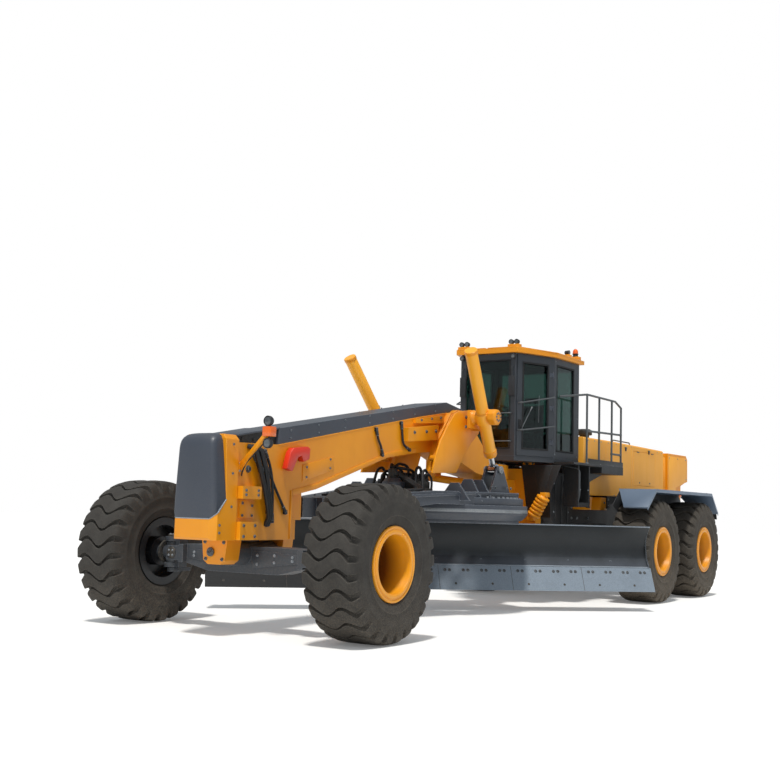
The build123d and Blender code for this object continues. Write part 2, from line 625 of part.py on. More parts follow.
def main_beam():
    """Nose, sloping beam, drop to the hinge, with bracket plates for the axle pin."""
    outline = [
        (700, 1150), (700, 2330), (-100, 2350), (-3450, 2972), (-4300, 3110), (-4950, 3110),
        (-5850, HINGE_HIGH), (-6380, HINGE_HIGH), (-6380, HINGE_LOW), (LEG_FRONT_X, HINGE_LOW),
        (LEG_FRONT_X, 2100), (-5300, 2200), (-4300, 2500), (-3390, 2424), (-2620, 2312), (-930, 1808),
        (-420, 1713), (-420, 1500), (-420, 1150),
    ]
    beam = side_plate(outline, -BEAM_HALF, BEAM_HALF)
    for z in ((HINGE_LOW, HINGE_LOW + EAR_T), (HINGE_HIGH - EAR_T, HINGE_HIGH)):
        beam = beam + box((HINGE_X, -6370), (-190, 190), z)
        beam = beam + rod((HINGE_X, 0, z[0]), (HINGE_X, 0, z[1]), 190)
    beam = beam - rod((HINGE_X, 0, 1000), (HINGE_X, 0, 2500), HINGE_PIN_R + RUN_GAP)
    for x, z, out in SIDE_BLOCKS:
        beam = beam + box(x, (-BEAM_HALF - out, BEAM_HALF + out), z)
    for outline, out in SIDE_BARS:
        bar = side_plate(outline, BEAM_HALF - 20, BEAM_HALF + out)
        beam = beam + bar + mirrored(bar)
    bracket = [(-210, 1200), (210, 1200), (170, 900), (100, 850), (-100, 850), (-170, 900)]
    for x in ((430, 690), (-600, -400)):
        beam = beam + cross_plate(bracket, *x)
    rear_tie = box((-620, -400), (-210, 210), (1150, 1420))
    beam = beam + rear_tie
    pin = rod((-600, 0, AXLE_PIN_Z), (690, 0, AXLE_PIN_Z), AXLE_PIN_R)
    beam = beam + pin
    socket = box((DRAWBAR_BALL[0] - 60, -410), (-190, 190), (1400, 1790))
    beam = beam + socket - Pos(*DRAWBAR_BALL) * Sphere(BALL_R + RUN_GAP)
    sx, sy, sz = SHIFT_ANCHOR
    for x in (sx - SHIFT_LUG_GAP - FORK_T, sx + SHIFT_LUG_GAP):
        lug = box((x, x + FORK_T), (sy - 45, -BEAM_HALF + 20), (sz - 45, 2420))
        beam = beam + lug
    reach = swing_axis(SHIFT_ANCHOR, SHIFT_EYE) * (SHIFT_LUG_GAP + FORK_T + 5)
    pin_centre = Vector(*SHIFT_ANCHOR)
    beam = beam - rod(pin_centre - reach, pin_centre + reach, SHIFT_PIN_R + RUN_GAP)
    return beam


def beam_cover():
    outline = [(-100, 2350), (-110, 2560), (-4290, 3270), (-5000, 3170), (-4950, 3110),
               (-4300, 3110), (-3450, 2972)]
    return side_plate(outline, -BEAM_HALF, BEAM_HALF)


NOSE_HALF = BEAM_HALF + 40.0


def nose_box():
    """Welded box around the front: full height at the beam, low under the cover."""
    outline = [(700, 1150), (1085, 1150), (1108, 1175), (1108, 1402), (892, 1635), (938, 2372),
               (925, 2420), (700, 2420)]
    plan = [(700, -NOSE_HALF), (1040, -NOSE_HALF), (1108, -NOSE_HALF + 70), (1108, NOSE_HALF - 70),
            (1040, NOSE_HALF), (700, NOSE_HALF)]
    front = [(-NOSE_HALF, 1100), (NOSE_HALF, 1100), (NOSE_HALF, 2360), (NOSE_HALF - 60, 2420),
             (-NOSE_HALF + 60, 2420), (-NOSE_HALF, 2360)]
    shell = side_plate(outline, -NOSE_HALF, NOSE_HALF) & flat_plate(plan, 1100, 2500)
    return shell & cross_plate(front, 600, 1200)


def nose_cover():
    """Cover that narrows upward, with its front corners cut back."""
    outline = [(1108, 1402), (1112, 2275), (1040, 2372), (938, 2372), (892, 1635)]
    front = [(-NOSE_HALF, 1300), (NOSE_HALF, 1300), (NOSE_HALF - 55, 2410), (-NOSE_HALF + 55, 2410)]
    plan = [(880, -NOSE_HALF), (1040, -NOSE_HALF), (1112, -NOSE_HALF + 72), (1112, NOSE_HALF - 72),
            (1040, NOSE_HALF), (880, NOSE_HALF)]
    cover = side_plate(outline, -NOSE_HALF, NOSE_HALF) & cross_plate(front, 800, 1200)
    return cover & flat_plate(plan, 1300, 2500)


def lift_saddle():
    """Yoke over the beam with an arm and a trunnion fork on each side."""
    tx, ty, tz = TRUNNION
    plate_y = (BEAM_HALF, BEAM_HALF + 85)
    plate = side_plate([(-4790, 3000), (-4640, 3170), (-4290, 3100), (-3905, 2640), (-3680, 2160),
                        (-4400, 2160)], *plate_y)
    plate = plate + rod((-4540, plate_y[0], 2940), (-4540, plate_y[1], 2940), 230)
    arm = rod((-4540, plate_y[1], 2960), (-4540, ty - 180, 2960), 130)
    left = plate + arm
    fork = box((-4780, tx + 110), (ty - 226, ty - 176), (tz - 170, tz + 110))
    outer = box((-4780, tx + 110), (ty + 176, ty + 226), (tz - 170, tz + 110))
    bridge = box((-4780, -4660), (ty - 226, ty + 226), (tz - 170, tz + 60))
    left = joined(left, fork, outer, bridge)
    axis, centre = swing_axis(TRUNNION, LIFT_EYE), Vector(*TRUNNION)
    left = left - rod(centre - axis * 300, centre + axis * 300, 60 + RUN_GAP)
    return left + mirrored(left)


def lowered(point, angle):
    """Where a point of the drawbar goes when the drawbar pitches about its ball."""
    bx, by, bz = DRAWBAR_BALL
    turn = math.radians(angle)
    x, z = point[0] - bx, point[2] - bz
    return (bx + x * math.cos(turn) + z * math.sin(turn), point[1],
            bz - x * math.sin(turn) + z * math.cos(turn))


def swing_axis(anchor, eye):
    """Hinge axis of a barrel whose eye goes through its rest and lowest places."""
    rest = Vector(*eye) - Vector(*anchor)
    low = Vector(*lowered(eye, LIFT_ANGLES[0])) - Vector(*anchor)
    return rest.cross(low).normalized()


LIFT_EYE = (EAR_X, EAR_Y, EAR_Z)
LIFT_DOWN = 710.0
LIFT_UP = 1190.0
LIFT_INSIDE = 955.0         # rod's length above the trunnion
SHIFT_DOWN = 760.0
SHIFT_INSIDE = 80.0
SHIFT_BARREL_R = 62.0
SHIFT_ROD_R = 32.0
SHIFT_PIN_R = 30.0
SHIFT_BORE = 100.0           # bore starts this far past the pin


def lift_barrel():
    """Barrel with a trunnion collar; its bore is open at the lower end."""
    anchor = Vector(*TRUNNION)
    down = (Vector(*LIFT_EYE) - anchor).normalized()
    axis = swing_axis(TRUNNION, LIFT_EYE)
    top = anchor - down * LIFT_UP
    body = rod(top, anchor + down * LIFT_DOWN, LIFT_BARREL_R)
    collar = rod(anchor - down * 90, anchor + down * 90, 128)
    pins = rod(anchor - axis * 224, anchor + axis * 224, 60)
    bore = rod(top + down * 60, anchor + down * (LIFT_DOWN + 5), LIFT_ROD_R + RUN_GAP)
    return joined(body, collar, pins) - bore


def lift_rod():
    anchor, eye = Vector(*TRUNNION), Vector(*LIFT_EYE)
    down = (eye - anchor).normalized()
    bar = rod(anchor - down * LIFT_INSIDE, eye, LIFT_ROD_R)
    half = FORK_GAP - 25
    ex, ey, ez = LIFT_EYE
    return bar + rod((ex, ey - half, ez), (ex, ey + half, ez), 90)


def shift_barrel():
    """Centre shift barrel under the beam, hinged on its lugs."""
    anchor, eye = Vector(*SHIFT_ANCHOR), Vector(*SHIFT_EYE)
    along = (eye - anchor).normalized()
    body = rod(anchor, anchor + along * SHIFT_DOWN, SHIFT_BARREL_R)
    axis = swing_axis(SHIFT_ANCHOR, SHIFT_EYE)
    reach = axis * (SHIFT_LUG_GAP + FORK_T - 4)
    pin = rod(anchor - reach, anchor + reach, SHIFT_PIN_R)
    boss = rod(anchor - axis * 70, anchor + axis * 70, SHIFT_BARREL_R)
    bore = rod(anchor + along * SHIFT_BORE, anchor + along * (SHIFT_DOWN + 5), SHIFT_ROD_R + RUN_GAP)
    return joined(body, pin, boss) - bore


def shift_rod():
    anchor, eye = Vector(*SHIFT_ANCHOR), Vector(*SHIFT_EYE)
    along = (eye - anchor).normalized()
    bar = rod(anchor + along * (SHIFT_BORE + SHIFT_INSIDE), eye, SHIFT_ROD_R)
    ex, ey, ez = SHIFT_EYE
    return bar + rod((ex - 30, ey, ez), (ex + 30, ey, ez), 65)


def lamp_mast():
    """Arm on the nose's left side with a block and two lamps at its end."""
    foot = box((600, 690), (BEAM_HALF, BEAM_HALF + 40), (1960, 2100))
    arm = rod((650, BEAM_HALF + 25, 2030), (820, 900, 2440), 30)
    block = box((760, 880), (830, 960), (2380, 2505))
    upper = box((780, 870), (850, 945), (2495, 2640))
    lower = box((775, 865), (850, 945), (2225, 2390))
    return joined(foot, arm, block, upper, lower)


def hose(points, radius):
    """Round hose along straight runs joined by tangent arcs."""
    route = [Vector(*p) for p in points]
    radii = []
    for a, b, c in zip(route, route[1:], route[2:]):
        turn = math.radians((b - a).get_angle(c - b))
        radii.append(0.45 * min((b - a).length, (c - b).length) / math.tan(turn / 2))
    path = FilletPolyline(*route, radius=radii)
    start = Plane(origin=route[0], z_dir=route[1] - route[0])
    return sweep(start * Circle(radius), path)


# hoses on the beam's side: station, distance out from the beam, height
HOSES = (
    ((330, 20, 2250), (215, 30, 2120), (70, 34, 1940), (-45, 30, 1780), (-270, 20, 1500)),
    ((180, 20, 2250), (85, 32, 2080), (30, 36, 1860), (10, 30, 1620), (-5, 20, 1390)),
    ((400, 20, 2200), (290, 28, 2020), (210, 34, 1850), (120, 30, 1680), (75, 20, 1500)),
    ((-2300, 20, 2700), (-2330, 34, 2560), (-2400, 36, 2470), (-2470, 22, 2350)),
    ((-2960, 20, 2840), (-2958, 34, 2700), (-2985, 36, 2530), (-3190, 22, 2460)),
)
HOSE_R = 17.0


def frame_hoses():
    lines = [hose([(x, BEAM_HALF + out, z) for x, out, z in points], HOSE_R) for points in HOSES]
    clips = [box((x - 30, x + 30), (BEAM_HALF, BEAM_HALF + out + 8), (z - 25, z + 25))
             for points in HOSES for x, out, z in (points[0], points[-1])]
    return joined(*lines, *clips)


# ---- drawbar, circle, blade ---------------------------------------------------------------
RIB_T = 35.0
RIBS = (                     # station, top height
    (-3600.0, 1990.0),
    (-4000.0, 2060.0),
    (-4330.0, 2060.0),
)


def drawbar():
    """A-frame from the front ball to the round plate that carries the circle."""
    low = CIRCLE_HIGH + RUN_GAP
    plate = Pos(CIRCLE_X, 0, low) * Cylinder(DRAWBAR_PLATE_R, DRAWBAR_PLATE_T,
                                             align=(Align.CENTER, Align.CENTER, Align.MIN))
    plate = plate - Pos(CIRCLE_X, 0, low - 5) * Cylinder(DRAWBAR_HOLE_R, DRAWBAR_PLATE_T + 10,
                                                         align=(Align.CENTER, Align.CENTER, Align.MIN))
    bx, _, bz = DRAWBAR_BALL
    plan = [(-1150, 0), (-1150, 250), (-3900, 1080), (-5300, 1080), (-5300, 860), (-4100, 860),
            (-1500, 0)]
    side = [(-1150, 1430), (-1150, 1700), (-3100, 1860), (-5300, low + 210), (-5300, low),
            (CIRCLE_X + CIRCLE_R + 100, low)]
    arm = flat_plate(plan, 1400, 2000) & side_plate(side, -10, 1200)
    cross = box((-5300, -4960), (-1080, 1080), (low, low + 150))
    front_cross = box((-3350, -3150), (-760, 760), (low, low + 160))
    head = box((-1200, bx - 150), (-150, 150), (1430, 1700))
    neck = rod((bx - 200, 0, bz), (bx, 0, bz), 60)
    ball = Pos(*DRAWBAR_BALL) * Sphere(BALL_R)
    body = joined(plate, arm, mirrored(arm), cross, front_cross, head, neck, ball)
    for sign in (1, -1):
        for y in (EAR_Y - FORK_GAP - FORK_T, EAR_Y + FORK_GAP):
            ear = side_plate([(-5280, low + 100), (EAR_X - 90, EAR_Z + 60), (EAR_X + 60, EAR_Z + 60),
                              (-4500, low + 100)], y, y + FORK_T)
            body = body + (ear if sign > 0 else mirrored(ear))
        for x, top in RIBS:
            rib = cross_plate([(620, low + 60), (820, top), (960, top), (1150, low + 60)], x, x + RIB_T)
            body = body + (rib if sign > 0 else mirrored(rib))
    ex, ey, ez = SHIFT_EYE
    for x in (ex - FORK_GAP - FORK_T, ex + FORK_GAP):
        body = body + box((x, x + FORK_T), (ey - 60, ey + 60), (low + 100, ez + 55))
    return body


def blade_place():
    """Frame of the blade: x forward of its face, y along it to the left end, z up."""
    return Pos(CIRCLE_X, 0, 0) * Rot(0, 0, BLADE_ANGLE)


def circle():
    """Toothed ring with two legs that hold the blade's tip hinge."""
    ring = Pos(0, 0, CIRCLE_LOW) * Cylinder(CIRCLE_R, CIRCLE_HIGH - CIRCLE_LOW,
                                            align=(Align.CENTER, Align.CENTER, Align.MIN))
    ring = ring - Pos(0, 0, CIRCLE_LOW - 1) * Cylinder(CIRCLE_BORE_R, CIRCLE_HIGH - CIRCLE_LOW + 2,
                                                       align=(Align.CENTER, Align.CENTER, Align.MIN))
    body = chamfer(ring.edges().group_by(Axis.Z)[0].sort_by(SortBy.LENGTH)[-1], 90)
    for sign in (1, -1):
        leg = side_plate([(-740, CIRCLE_LOW + 20), (-430, CIRCLE_LOW + 20), (-255, 760), (-255, 560),
                          (-300, 520), (-440, 520), (-740, 1150)], sign * 960, sign * 1060)
        body = body + leg
        body = body - rod((TIP_N, sign * 900, TIP_Z), (TIP_N, sign * 1100, TIP_Z), 45 + RUN_GAP)
    return blade_place() * body


RAIL_BACK = -230.0
RAIL_LIP = 35.0              # how far a shoe reaches over its rail
RAILS = (                    # height of the rail's middle, its lower and upper front corners
    (LOW_RAIL_Z, -25.0, -65.0),
    (HIGH_RAIL_Z, -150.0, -120.0),
)


def blade_frame():
    """Tip tube with two uprights and the shoes that guide the blade's rails."""
    tube = rod((TIP_N, -945, TIP_Z), (TIP_N, 945, TIP_Z), 70)
    pins = rod((TIP_N, -1055, TIP_Z), (TIP_N, 1055, TIP_Z), 45)
    body = tube + pins
    half = RAIL / 2
    for y in (-720, 720):
        body = body + box((TIP_N - 30, RAIL_BACK - RUN_GAP), (y - 60, y + 60), (TIP_Z - 90, HIGH_RAIL_Z + 60))
        for z, _, _ in RAILS:
            body = body + box((RAIL_BACK - 60, RAIL_BACK + RAIL_LIP), (y - 150, y + 150),
                              (z - half - 35, z + half + 35))
    for z, _, _ in RAILS:
        body = body - box((RAIL_BACK - RUN_GAP, 50), (-1500, 1500),
                          (z - half - RUN_GAP, z + half + RUN_GAP))
    return blade_place() * body


BEND_Z = 860.0
EDGE_TOP_N = -40.0           # cutting edge's upper front, from the face line
EDGE_LEAN = 0.5              # forward run of the edge per unit of drop


def edge_front(z):
    """Point of the cutting edge's front plane at a height, as (forward, z)."""
    return (EDGE_TOP_N + EDGE_LEAN * (BLADE_LOW + EDGE_H - z), z)


def edge_back(z):
    return (edge_front(z)[0] - EDGE_T, z)


def moldboard():
    """Curved plate with two slide rails and stiffeners on its back."""
    half = BLADE_LEN / 2
    foot = edge_back(BLADE_LOW + 60)
    bend = edge_back(BEND_Z)
    waist = (-165.0, 1100.0)
    lip = (0.0, BLADE_HIGH)

    def p(point, back=0.0):
        return (point[0] - back, -half, point[1])

    edges = [Line(p(foot), p(bend)), ThreePointArc(p(bend), p(waist), p(lip)),
             Line(p(lip), p(lip, BLADE_T)),
             ThreePointArc(p(lip, BLADE_T), p(waist, BLADE_T), p(bend, BLADE_T)),
             Line(p(bend, BLADE_T), p(foot, BLADE_T)), Line(p(foot, BLADE_T), p(foot))]
    body = extrude(Face(Wire(edges)), amount=BLADE_LEN, dir=(0, 1, 0))
    for z, front_low, front_high in RAILS:
        rail = [(RAIL_BACK, z - RAIL / 2), (front_low, z - RAIL / 2), (front_high, z + RAIL / 2),
                (RAIL_BACK, z + RAIL / 2)]
        body = body + side_plate(rail, -half + 300, half - 300)
    for y in range(-3000, 3001, 750):
        rib = side_plate([(-70, LOW_RAIL_Z), (-120, BEND_Z - 40), (-190, BEND_Z - 40),
                          (-150, LOW_RAIL_Z)], y - 15, y + 15)
        body = body + rib
    return blade_place() * body


def cutting_edge():
    half = BLADE_LEN / 2 + END_BIT
    low, top = edge_back(BLADE_LOW), edge_back(BLADE_LOW + EDGE_H)
    profile = [low, top, edge_front(top[1]), edge_front(low[1])]
    return blade_place() * side_plate(profile, -half, half)


# ---- build --------------------------------------------------------------------------------
def build():
    wheels()
    keep("front_axle", front_axle())
    for name, shape in (("lean_carrier", lean_carrier()), ("knuckle", knuckle()),
                        ("tandem_case", tandem_case()), ("fender", fender()),
                        ("lift_barrel", lift_barrel()), ("lift_rod", lift_rod()),
                        ("hood_door", hood_door())):
        keep(name + "_left", shape)
        keep(name + "_right", mirrored(shape))
    for name, maker in (
        ("rear_axle", rear_axle), ("rear_frame", rear_frame), ("engine_block", engine_block),
        ("engine_hood", engine_hood), ("rear_grille", rear_grille), ("fuel_tank", fuel_tank),
        ("walkways", walkways), ("handrails", handrails), ("cab_floor", cab_floor),
        ("cab_roof", cab_roof), ("cab_frame", cab_frame), ("cab_windows", cab_windows),
        ("cab_lamps", cab_lamps), ("operator_seat", operator_seat),
        ("control_console", control_console), ("main_beam", main_beam),
        ("beam_cover", beam_cover), ("nose_box", nose_box), ("nose_cover", nose_cover),
        ("frame_hoses", frame_hoses), ("lift_saddle", lift_saddle),
        ("lamp_mast", lamp_mast), ("drawbar", drawbar), ("circle", circle),
        ("centre_shift_barrel", shift_barrel), ("centre_shift_rod", shift_rod),
        ("blade_frame", blade_frame), ("moldboard", moldboard), ("cutting_edge", cutting_edge),
    ):
        keep(name, maker())
    for side, sign in SIDES:
        keep(f"cab_door_{side}", cab_door(sign))
        keep(f"door_glass_{side}", door_glass(sign))
    os.makedirs("parts", exist_ok=True)
    for name, shape in PARTS.items():
        export_step(shape, f"parts/{name}.step")


build()
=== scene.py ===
"""Motor grader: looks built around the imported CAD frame. Metres, +X forward, +Y left, +Z up."""
import math

import bmesh
import bpy
from mathutils import Matrix, Vector


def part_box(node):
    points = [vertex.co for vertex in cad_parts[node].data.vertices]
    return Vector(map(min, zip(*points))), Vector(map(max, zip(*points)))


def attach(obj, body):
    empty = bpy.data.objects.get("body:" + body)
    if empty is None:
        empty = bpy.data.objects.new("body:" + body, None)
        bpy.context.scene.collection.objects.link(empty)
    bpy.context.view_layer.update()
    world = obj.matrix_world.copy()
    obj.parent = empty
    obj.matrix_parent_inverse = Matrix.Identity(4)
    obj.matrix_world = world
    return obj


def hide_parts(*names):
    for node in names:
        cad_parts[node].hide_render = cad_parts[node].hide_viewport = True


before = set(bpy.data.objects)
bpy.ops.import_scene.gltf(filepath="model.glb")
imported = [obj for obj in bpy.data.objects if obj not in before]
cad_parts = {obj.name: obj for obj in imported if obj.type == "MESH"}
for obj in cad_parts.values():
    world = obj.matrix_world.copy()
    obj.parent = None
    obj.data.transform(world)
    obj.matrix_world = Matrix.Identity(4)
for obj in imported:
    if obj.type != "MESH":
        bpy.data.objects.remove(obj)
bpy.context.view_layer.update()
SIDES = (("left", 1), ("right", -1))
FRONT, REAR = "front_frame", "rear_frame"
X, Y, Z = Vector((1, 0, 0)), Vector((0, 1, 0)), Vector((0, 0, 1))


def centre(node):
    low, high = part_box(node)
    return (Vector(low) + Vector(high)) / 2


AX = centre("rim_front_left").x                 # front axle; stations count from it
AXLE_Z = centre("rim_front_left").z
MID_X = centre("rim_mid_left").x - AX
REAR_X = centre("rim_rear_left").x - AX


# ---- node trees
def colour(code):
    """Linear colour of an sRGB hex code."""
    out = []
    for i in (0, 2, 4):
        v = int(code[i:i + 2], 16) / 255
        out.append(v / 12.92 if v <= 0.04045 else ((v + 0.055) / 1.055) ** 2.4)
    return (*out, 1.0)


class Finish:
    """A material with small helpers for its nodes."""

    def __init__(self, name):
        self.mat = bpy.data.materials.new(name)
        self.mat.use_nodes = True
        self.tree = self.mat.node_tree
        self.place = self.add("TexCoord").outputs["Object"]

    def plug(self, socket, value):
        if isinstance(value, bpy.types.NodeSocket):
            self.tree.links.new(value, socket)
        else:
            socket.default_value = value

    def add(self, kind, settings=None, **inputs):
        """New node; an input's key is its name, or i and its number."""
        node = self.tree.nodes.new("ShaderNode" + kind)
        for key, value in (settings or {}).items():
            setattr(node, key, value)
        for key, value in inputs.items():
            self.plug(node.inputs[int(key[1:]) if key[1:].isdigit() else key], value)
        return node

    def wire(self, **inputs):
        """Values or sockets into the shader's inputs; returns the material."""
        for key, value in inputs.items():
            self.plug(self.tree.nodes["Principled BSDF"].inputs[key.replace("_", " ")], value)
        return self.mat

    def noise(self, scale, detail=4.0, rough=0.55, at=None):
        return self.add("TexNoise", Vector=at or self.place, Scale=scale, Detail=detail,
                        Roughness=rough).outputs["Fac"]

    def stretched(self, scale, turn=0.0):
        return self.add("Mapping", Vector=self.place, Scale=scale, Rotation=(0, 0, turn)).outputs[0]

    def ramp(self, value, low, high, start=0.0, end=1.0):
        return self.add("MapRange", i0=value, i1=low, i2=high, i3=start, i4=end).outputs[0]

    def maths(self, how, a, b):
        return self.add("Math", {"operation": how}, i0=a, i1=b).outputs[0]

    def times(self, a, b):
        return self.maths("MULTIPLY", a, b)

    def plus(self, a, b):
        return self.maths("ADD", a, b)

    def dot(self, a, b):
        return self.add("VectorMath", {"operation": "DOT_PRODUCT"}, i0=a, i1=b).outputs["Value"]

    def mix(self, fac, a, b):
        """Colour a, or b where fac is 1; a colour may be given as its hex code."""
        a, b = (colour(c) if isinstance(c, str) else c for c in (a, b))
        return self.add("Mix", {"data_type": "RGBA"}, i0=fac, i6=a, i7=b).outputs[2]

    def bump(self, height, strength, distance, **normal):
        return self.add("Bump", Height=height, Strength=strength, Distance=distance, **normal).outputs[0]

    def edges(self, radius):
        """1 along sharp edges, 0 on flat faces."""
        rounded_normal = self.add("Bevel", {"samples": 4}, Radius=radius).outputs[0]
        normal = self.add("NewGeometry").outputs["Normal"]
        return self.ramp(self.dot(rounded_normal, normal), 0.995, 0.90)

    def axis(self, k):
        """Place along the frame's X, Y or Z."""
        return self.add("SeparateXYZ", i0=self.place).outputs[k]

    def upward(self):
        normal = self.add("NewGeometry").outputs["Normal"]
        return self.ramp(self.add("SeparateXYZ", i0=normal).outputs[2], 0.4, 0.95)


DUST = "9C8E78"


def paint(name, tones, rough, dust, wear, coat=0.15, dish_shade_middle=None, black_from=None):
    """Painted metal: uneven tone, fine grain, dust low down and on top, and worn edges.

    The tones are light, dark, streak and worn edge. A rim's middle plane darkens its deep dish with painted
    shade and some dirt, and makes its inboard side black as painted shade with dirt. A chassis is black
    behind a station.
    """
    light, dark, streak, worn = tones.split()
    f = Finish(name)
    streaks = f.noise(3.0, 6.0, 0.65, f.stretched((1.0, 1.0, 0.25)))
    speck = f.noise(38.0, 5.0, 0.7)
    shade = f.mix(f.ramp(f.noise(0.8, 5.0), 0.35, 0.65), light, dark)
    shade = f.mix(f.ramp(streaks, 0.55, 0.80, 0.0, 0.35), shade, streak)
    low = f.plus(f.ramp(f.axis(2), 2.2, 0.2), 0.25)
    film = f.times(f.times(f.ramp(speck, 0.42, 0.68), low), dust)
    shelf = f.times(f.upward(), f.ramp(streaks, 0.35, 0.70, 0.0, dust * 0.9))
    film = f.maths("MAXIMUM", film, shelf)
    edge = f.times(f.edges(0.010), f.ramp(speck, 0.40, 0.60, 0.25, 1.0))
    shade = f.mix(f.times(edge, wear), f.mix(film, shade, DUST), worn)
    if black_from:
        rear = f.ramp(f.axis(0), black_from, black_from - 0.004)
        shade = f.mix(rear, shade, f.mix(film, "1B1D20", DUST))
    # painted shade with some dirt: the rim's deep dish darkens towards its middle and its inboard side is
    # black
    if dish_shade_middle:
        out = f.maths("ABSOLUTE", f.axis(1), 0.0)
        shade = f.mix(f.ramp(out, dish_shade_middle + 0.24, dish_shade_middle - 0.02, 0.0, 0.92), shade, "5E2A03")
        shade = f.mix(f.ramp(out, dish_shade_middle - 0.125, dish_shade_middle - 0.145), shade, "16171A")
    gloss = f.plus(f.ramp(streaks, 0.3, 0.7, rough - 0.06, rough + 0.08), f.times(film, 0.35))
    fine = f.bump(f.noise(170.0, 2.0), 0.10, 0.0012)
    return f.wire(Base_Color=shade, Roughness=gloss, Coat_Weight=coat, Coat_Roughness=0.25,
                  Normal=f.bump(speck, 0.05, 0.004, Normal=fine))


def rubber(name, light, dark, dusty):
    """Tyre rubber: dark grey, dust in the low places and on the sidewall."""
    f = Finish(name)
    cloud = f.noise(5.0, 6.0, 0.7)
    speck = f.noise(60.0, 5.0, 0.7)
    shade = f.mix(f.ramp(cloud, 0.35, 0.65), light, dark)
    film = f.times(f.ramp(speck, 0.40, 0.62), f.ramp(f.axis(2), 0.85, 0.0, 0.15, 1.0))
    shade = f.mix(f.times(film, dusty), shade, "8A7D6B")
    shade = f.mix(f.times(f.edges(0.012), 0.35), shade, "77736C")
    fine = f.bump(f.noise(260.0, 2.0), 0.2, 0.0015)
    return f.wire(Base_Color=shade, Roughness=f.ramp(cloud, 0.3, 0.7, 0.72, 0.88), Specular_IOR_Level=0.35,
                  Normal=f.bump(speck, 0.22, 0.004, Normal=fine))


def steel(name, tones, rough, turn=0.0, rust=0.25, shaded_end=False, polished=False):
    """Ground-worn plate: scratches along its length and rusty patches.

    A plate may darken towards its right end as painted shade, and lighten low down as painted light.
    """
    light, dark, patch = tones.split()
    f = Finish(name)
    scratch = f.noise(3.0, 6.0, 0.75, f.stretched((0.7, 26.0, 26.0), turn))
    cloud = f.noise(1.6, 6.0, 0.65)
    speck = f.noise(45.0, 5.0, 0.7)
    shade = f.mix(f.ramp(scratch, 0.38, 0.62), light, dark)
    shade = f.mix(f.ramp(cloud, 0.50, 0.72, 0.0, 0.55), shade, patch)
    shade = f.mix(f.times(f.ramp(speck, 0.60, 0.72), rust), shade, "5B4636")
    shade = f.mix(f.times(f.edges(0.008), 0.7), shade, "A9B2BC")
    # painted light: the lower face is lighter where it is lit, and the upper face darker in the circle's
    # shadow
    if polished:
        wavy = f.plus(f.axis(2), f.ramp(cloud, 0.3, 0.7, -0.05, 0.05))
        shade = f.mix(f.ramp(wavy, 0.92, 0.66, 0.0, 0.75), shade, "5B616B")
    # painted shade: the right end darkens where that end of the cutting edge lies in the machine's shadow
    if shaded_end:
        wavy = f.plus(f.axis(1), f.ramp(cloud, 0.3, 0.7, -0.12, 0.12))
        shade = f.mix(f.ramp(wavy, -0.75, -1.0), shade, "1C1E21")
    gloss = f.ramp(scratch, 0.35, 0.65, rough - 0.10, rough + 0.12)
    return f.wire(Base_Color=shade, Metallic=0.35, Roughness=gloss, Normal=f.bump(scratch, 0.12, 0.003,
                                                                                  Normal=f.bump(speck, 0.06,
                                                                                                0.002)))


def plain(name, base, other, rough, scale, strength, metallic=0.0, **extra):
    """Plastic, chrome or cast surface with grain and uneven gloss."""
    f = Finish(name)
    grain = f.noise(scale, 4.0, 0.6)
    cloud = f.noise(4.0, 4.0)
    gloss = f.ramp(f.times(grain, cloud), 0.1, 0.45, rough - 0.05, rough + 0.08)
    return f.wire(Base_Color=f.mix(f.ramp(cloud, 0.35, 0.65), base, other), Roughness=gloss,
                  Metallic=metallic, Normal=f.bump(grain, strength, 0.0012), **extra)


def deck_plate(name):
    """Dark tread plate with rows of raised bars."""
    f = Finish(name)
    bars = []
    for turn in (0.785, -0.785):
        cells = f.add("TexVoronoi", {"feature": "F1"}, Vector=f.stretched((38.0, 12.0, 12.0), turn),
                      Scale=1.0, Randomness=0.0)
        bars.append(f.ramp(cells.outputs["Distance"], 0.34, 0.22))
    both = f.maths("MAXIMUM", *bars)
    speck = f.noise(30.0, 5.0, 0.7)
    shade = f.mix(f.ramp(speck, 0.35, 0.7), "24262A", "3B3E42")
    return f.wire(Base_Color=f.mix(f.times(both, 0.5), shade, "6A6E72"), Metallic=0.2, Roughness=f.ramp(speck,
                                                                                                        0.3,
                                                                                                        0.7,
                                                                                                        0.45,
                                                                                                        0.7),
                  Normal=f.bump(both, 0.6, 0.004))


def glass(name, tint):
    """Tinted pane that lets the cab's inside show."""
    f = Finish(name)
    smear = f.ramp(f.noise(6.0, 5.0, 0.7), 0.45, 0.8, 0.02, 0.09)
    return f.wire(Base_Color=colour(tint), Roughness=smear, Transmission_Weight=1.0, IOR=1.45)


def cloth(name, base):
    """Woven seat cover."""
    f = Finish(name)
    rows = [f.maths("SINE", f.times(f.dot(f.place, axis), 1900.0), 0.0) for axis in (X, Z)]
    weave = f.times(*rows)
    shade = f.mix(f.ramp(weave, -0.6, 0.6, 0.0, 0.5), base, "4A4C52")
    shade = f.mix(f.ramp(f.noise(9.0, 4.0), 0.4, 0.7, 0.0, 0.4), shade, "17181B")
    return f.wire(Base_Color=shade, Roughness=0.9, Sheen_Weight=0.4, Normal=f.bump(weave, 0.35, 0.001))


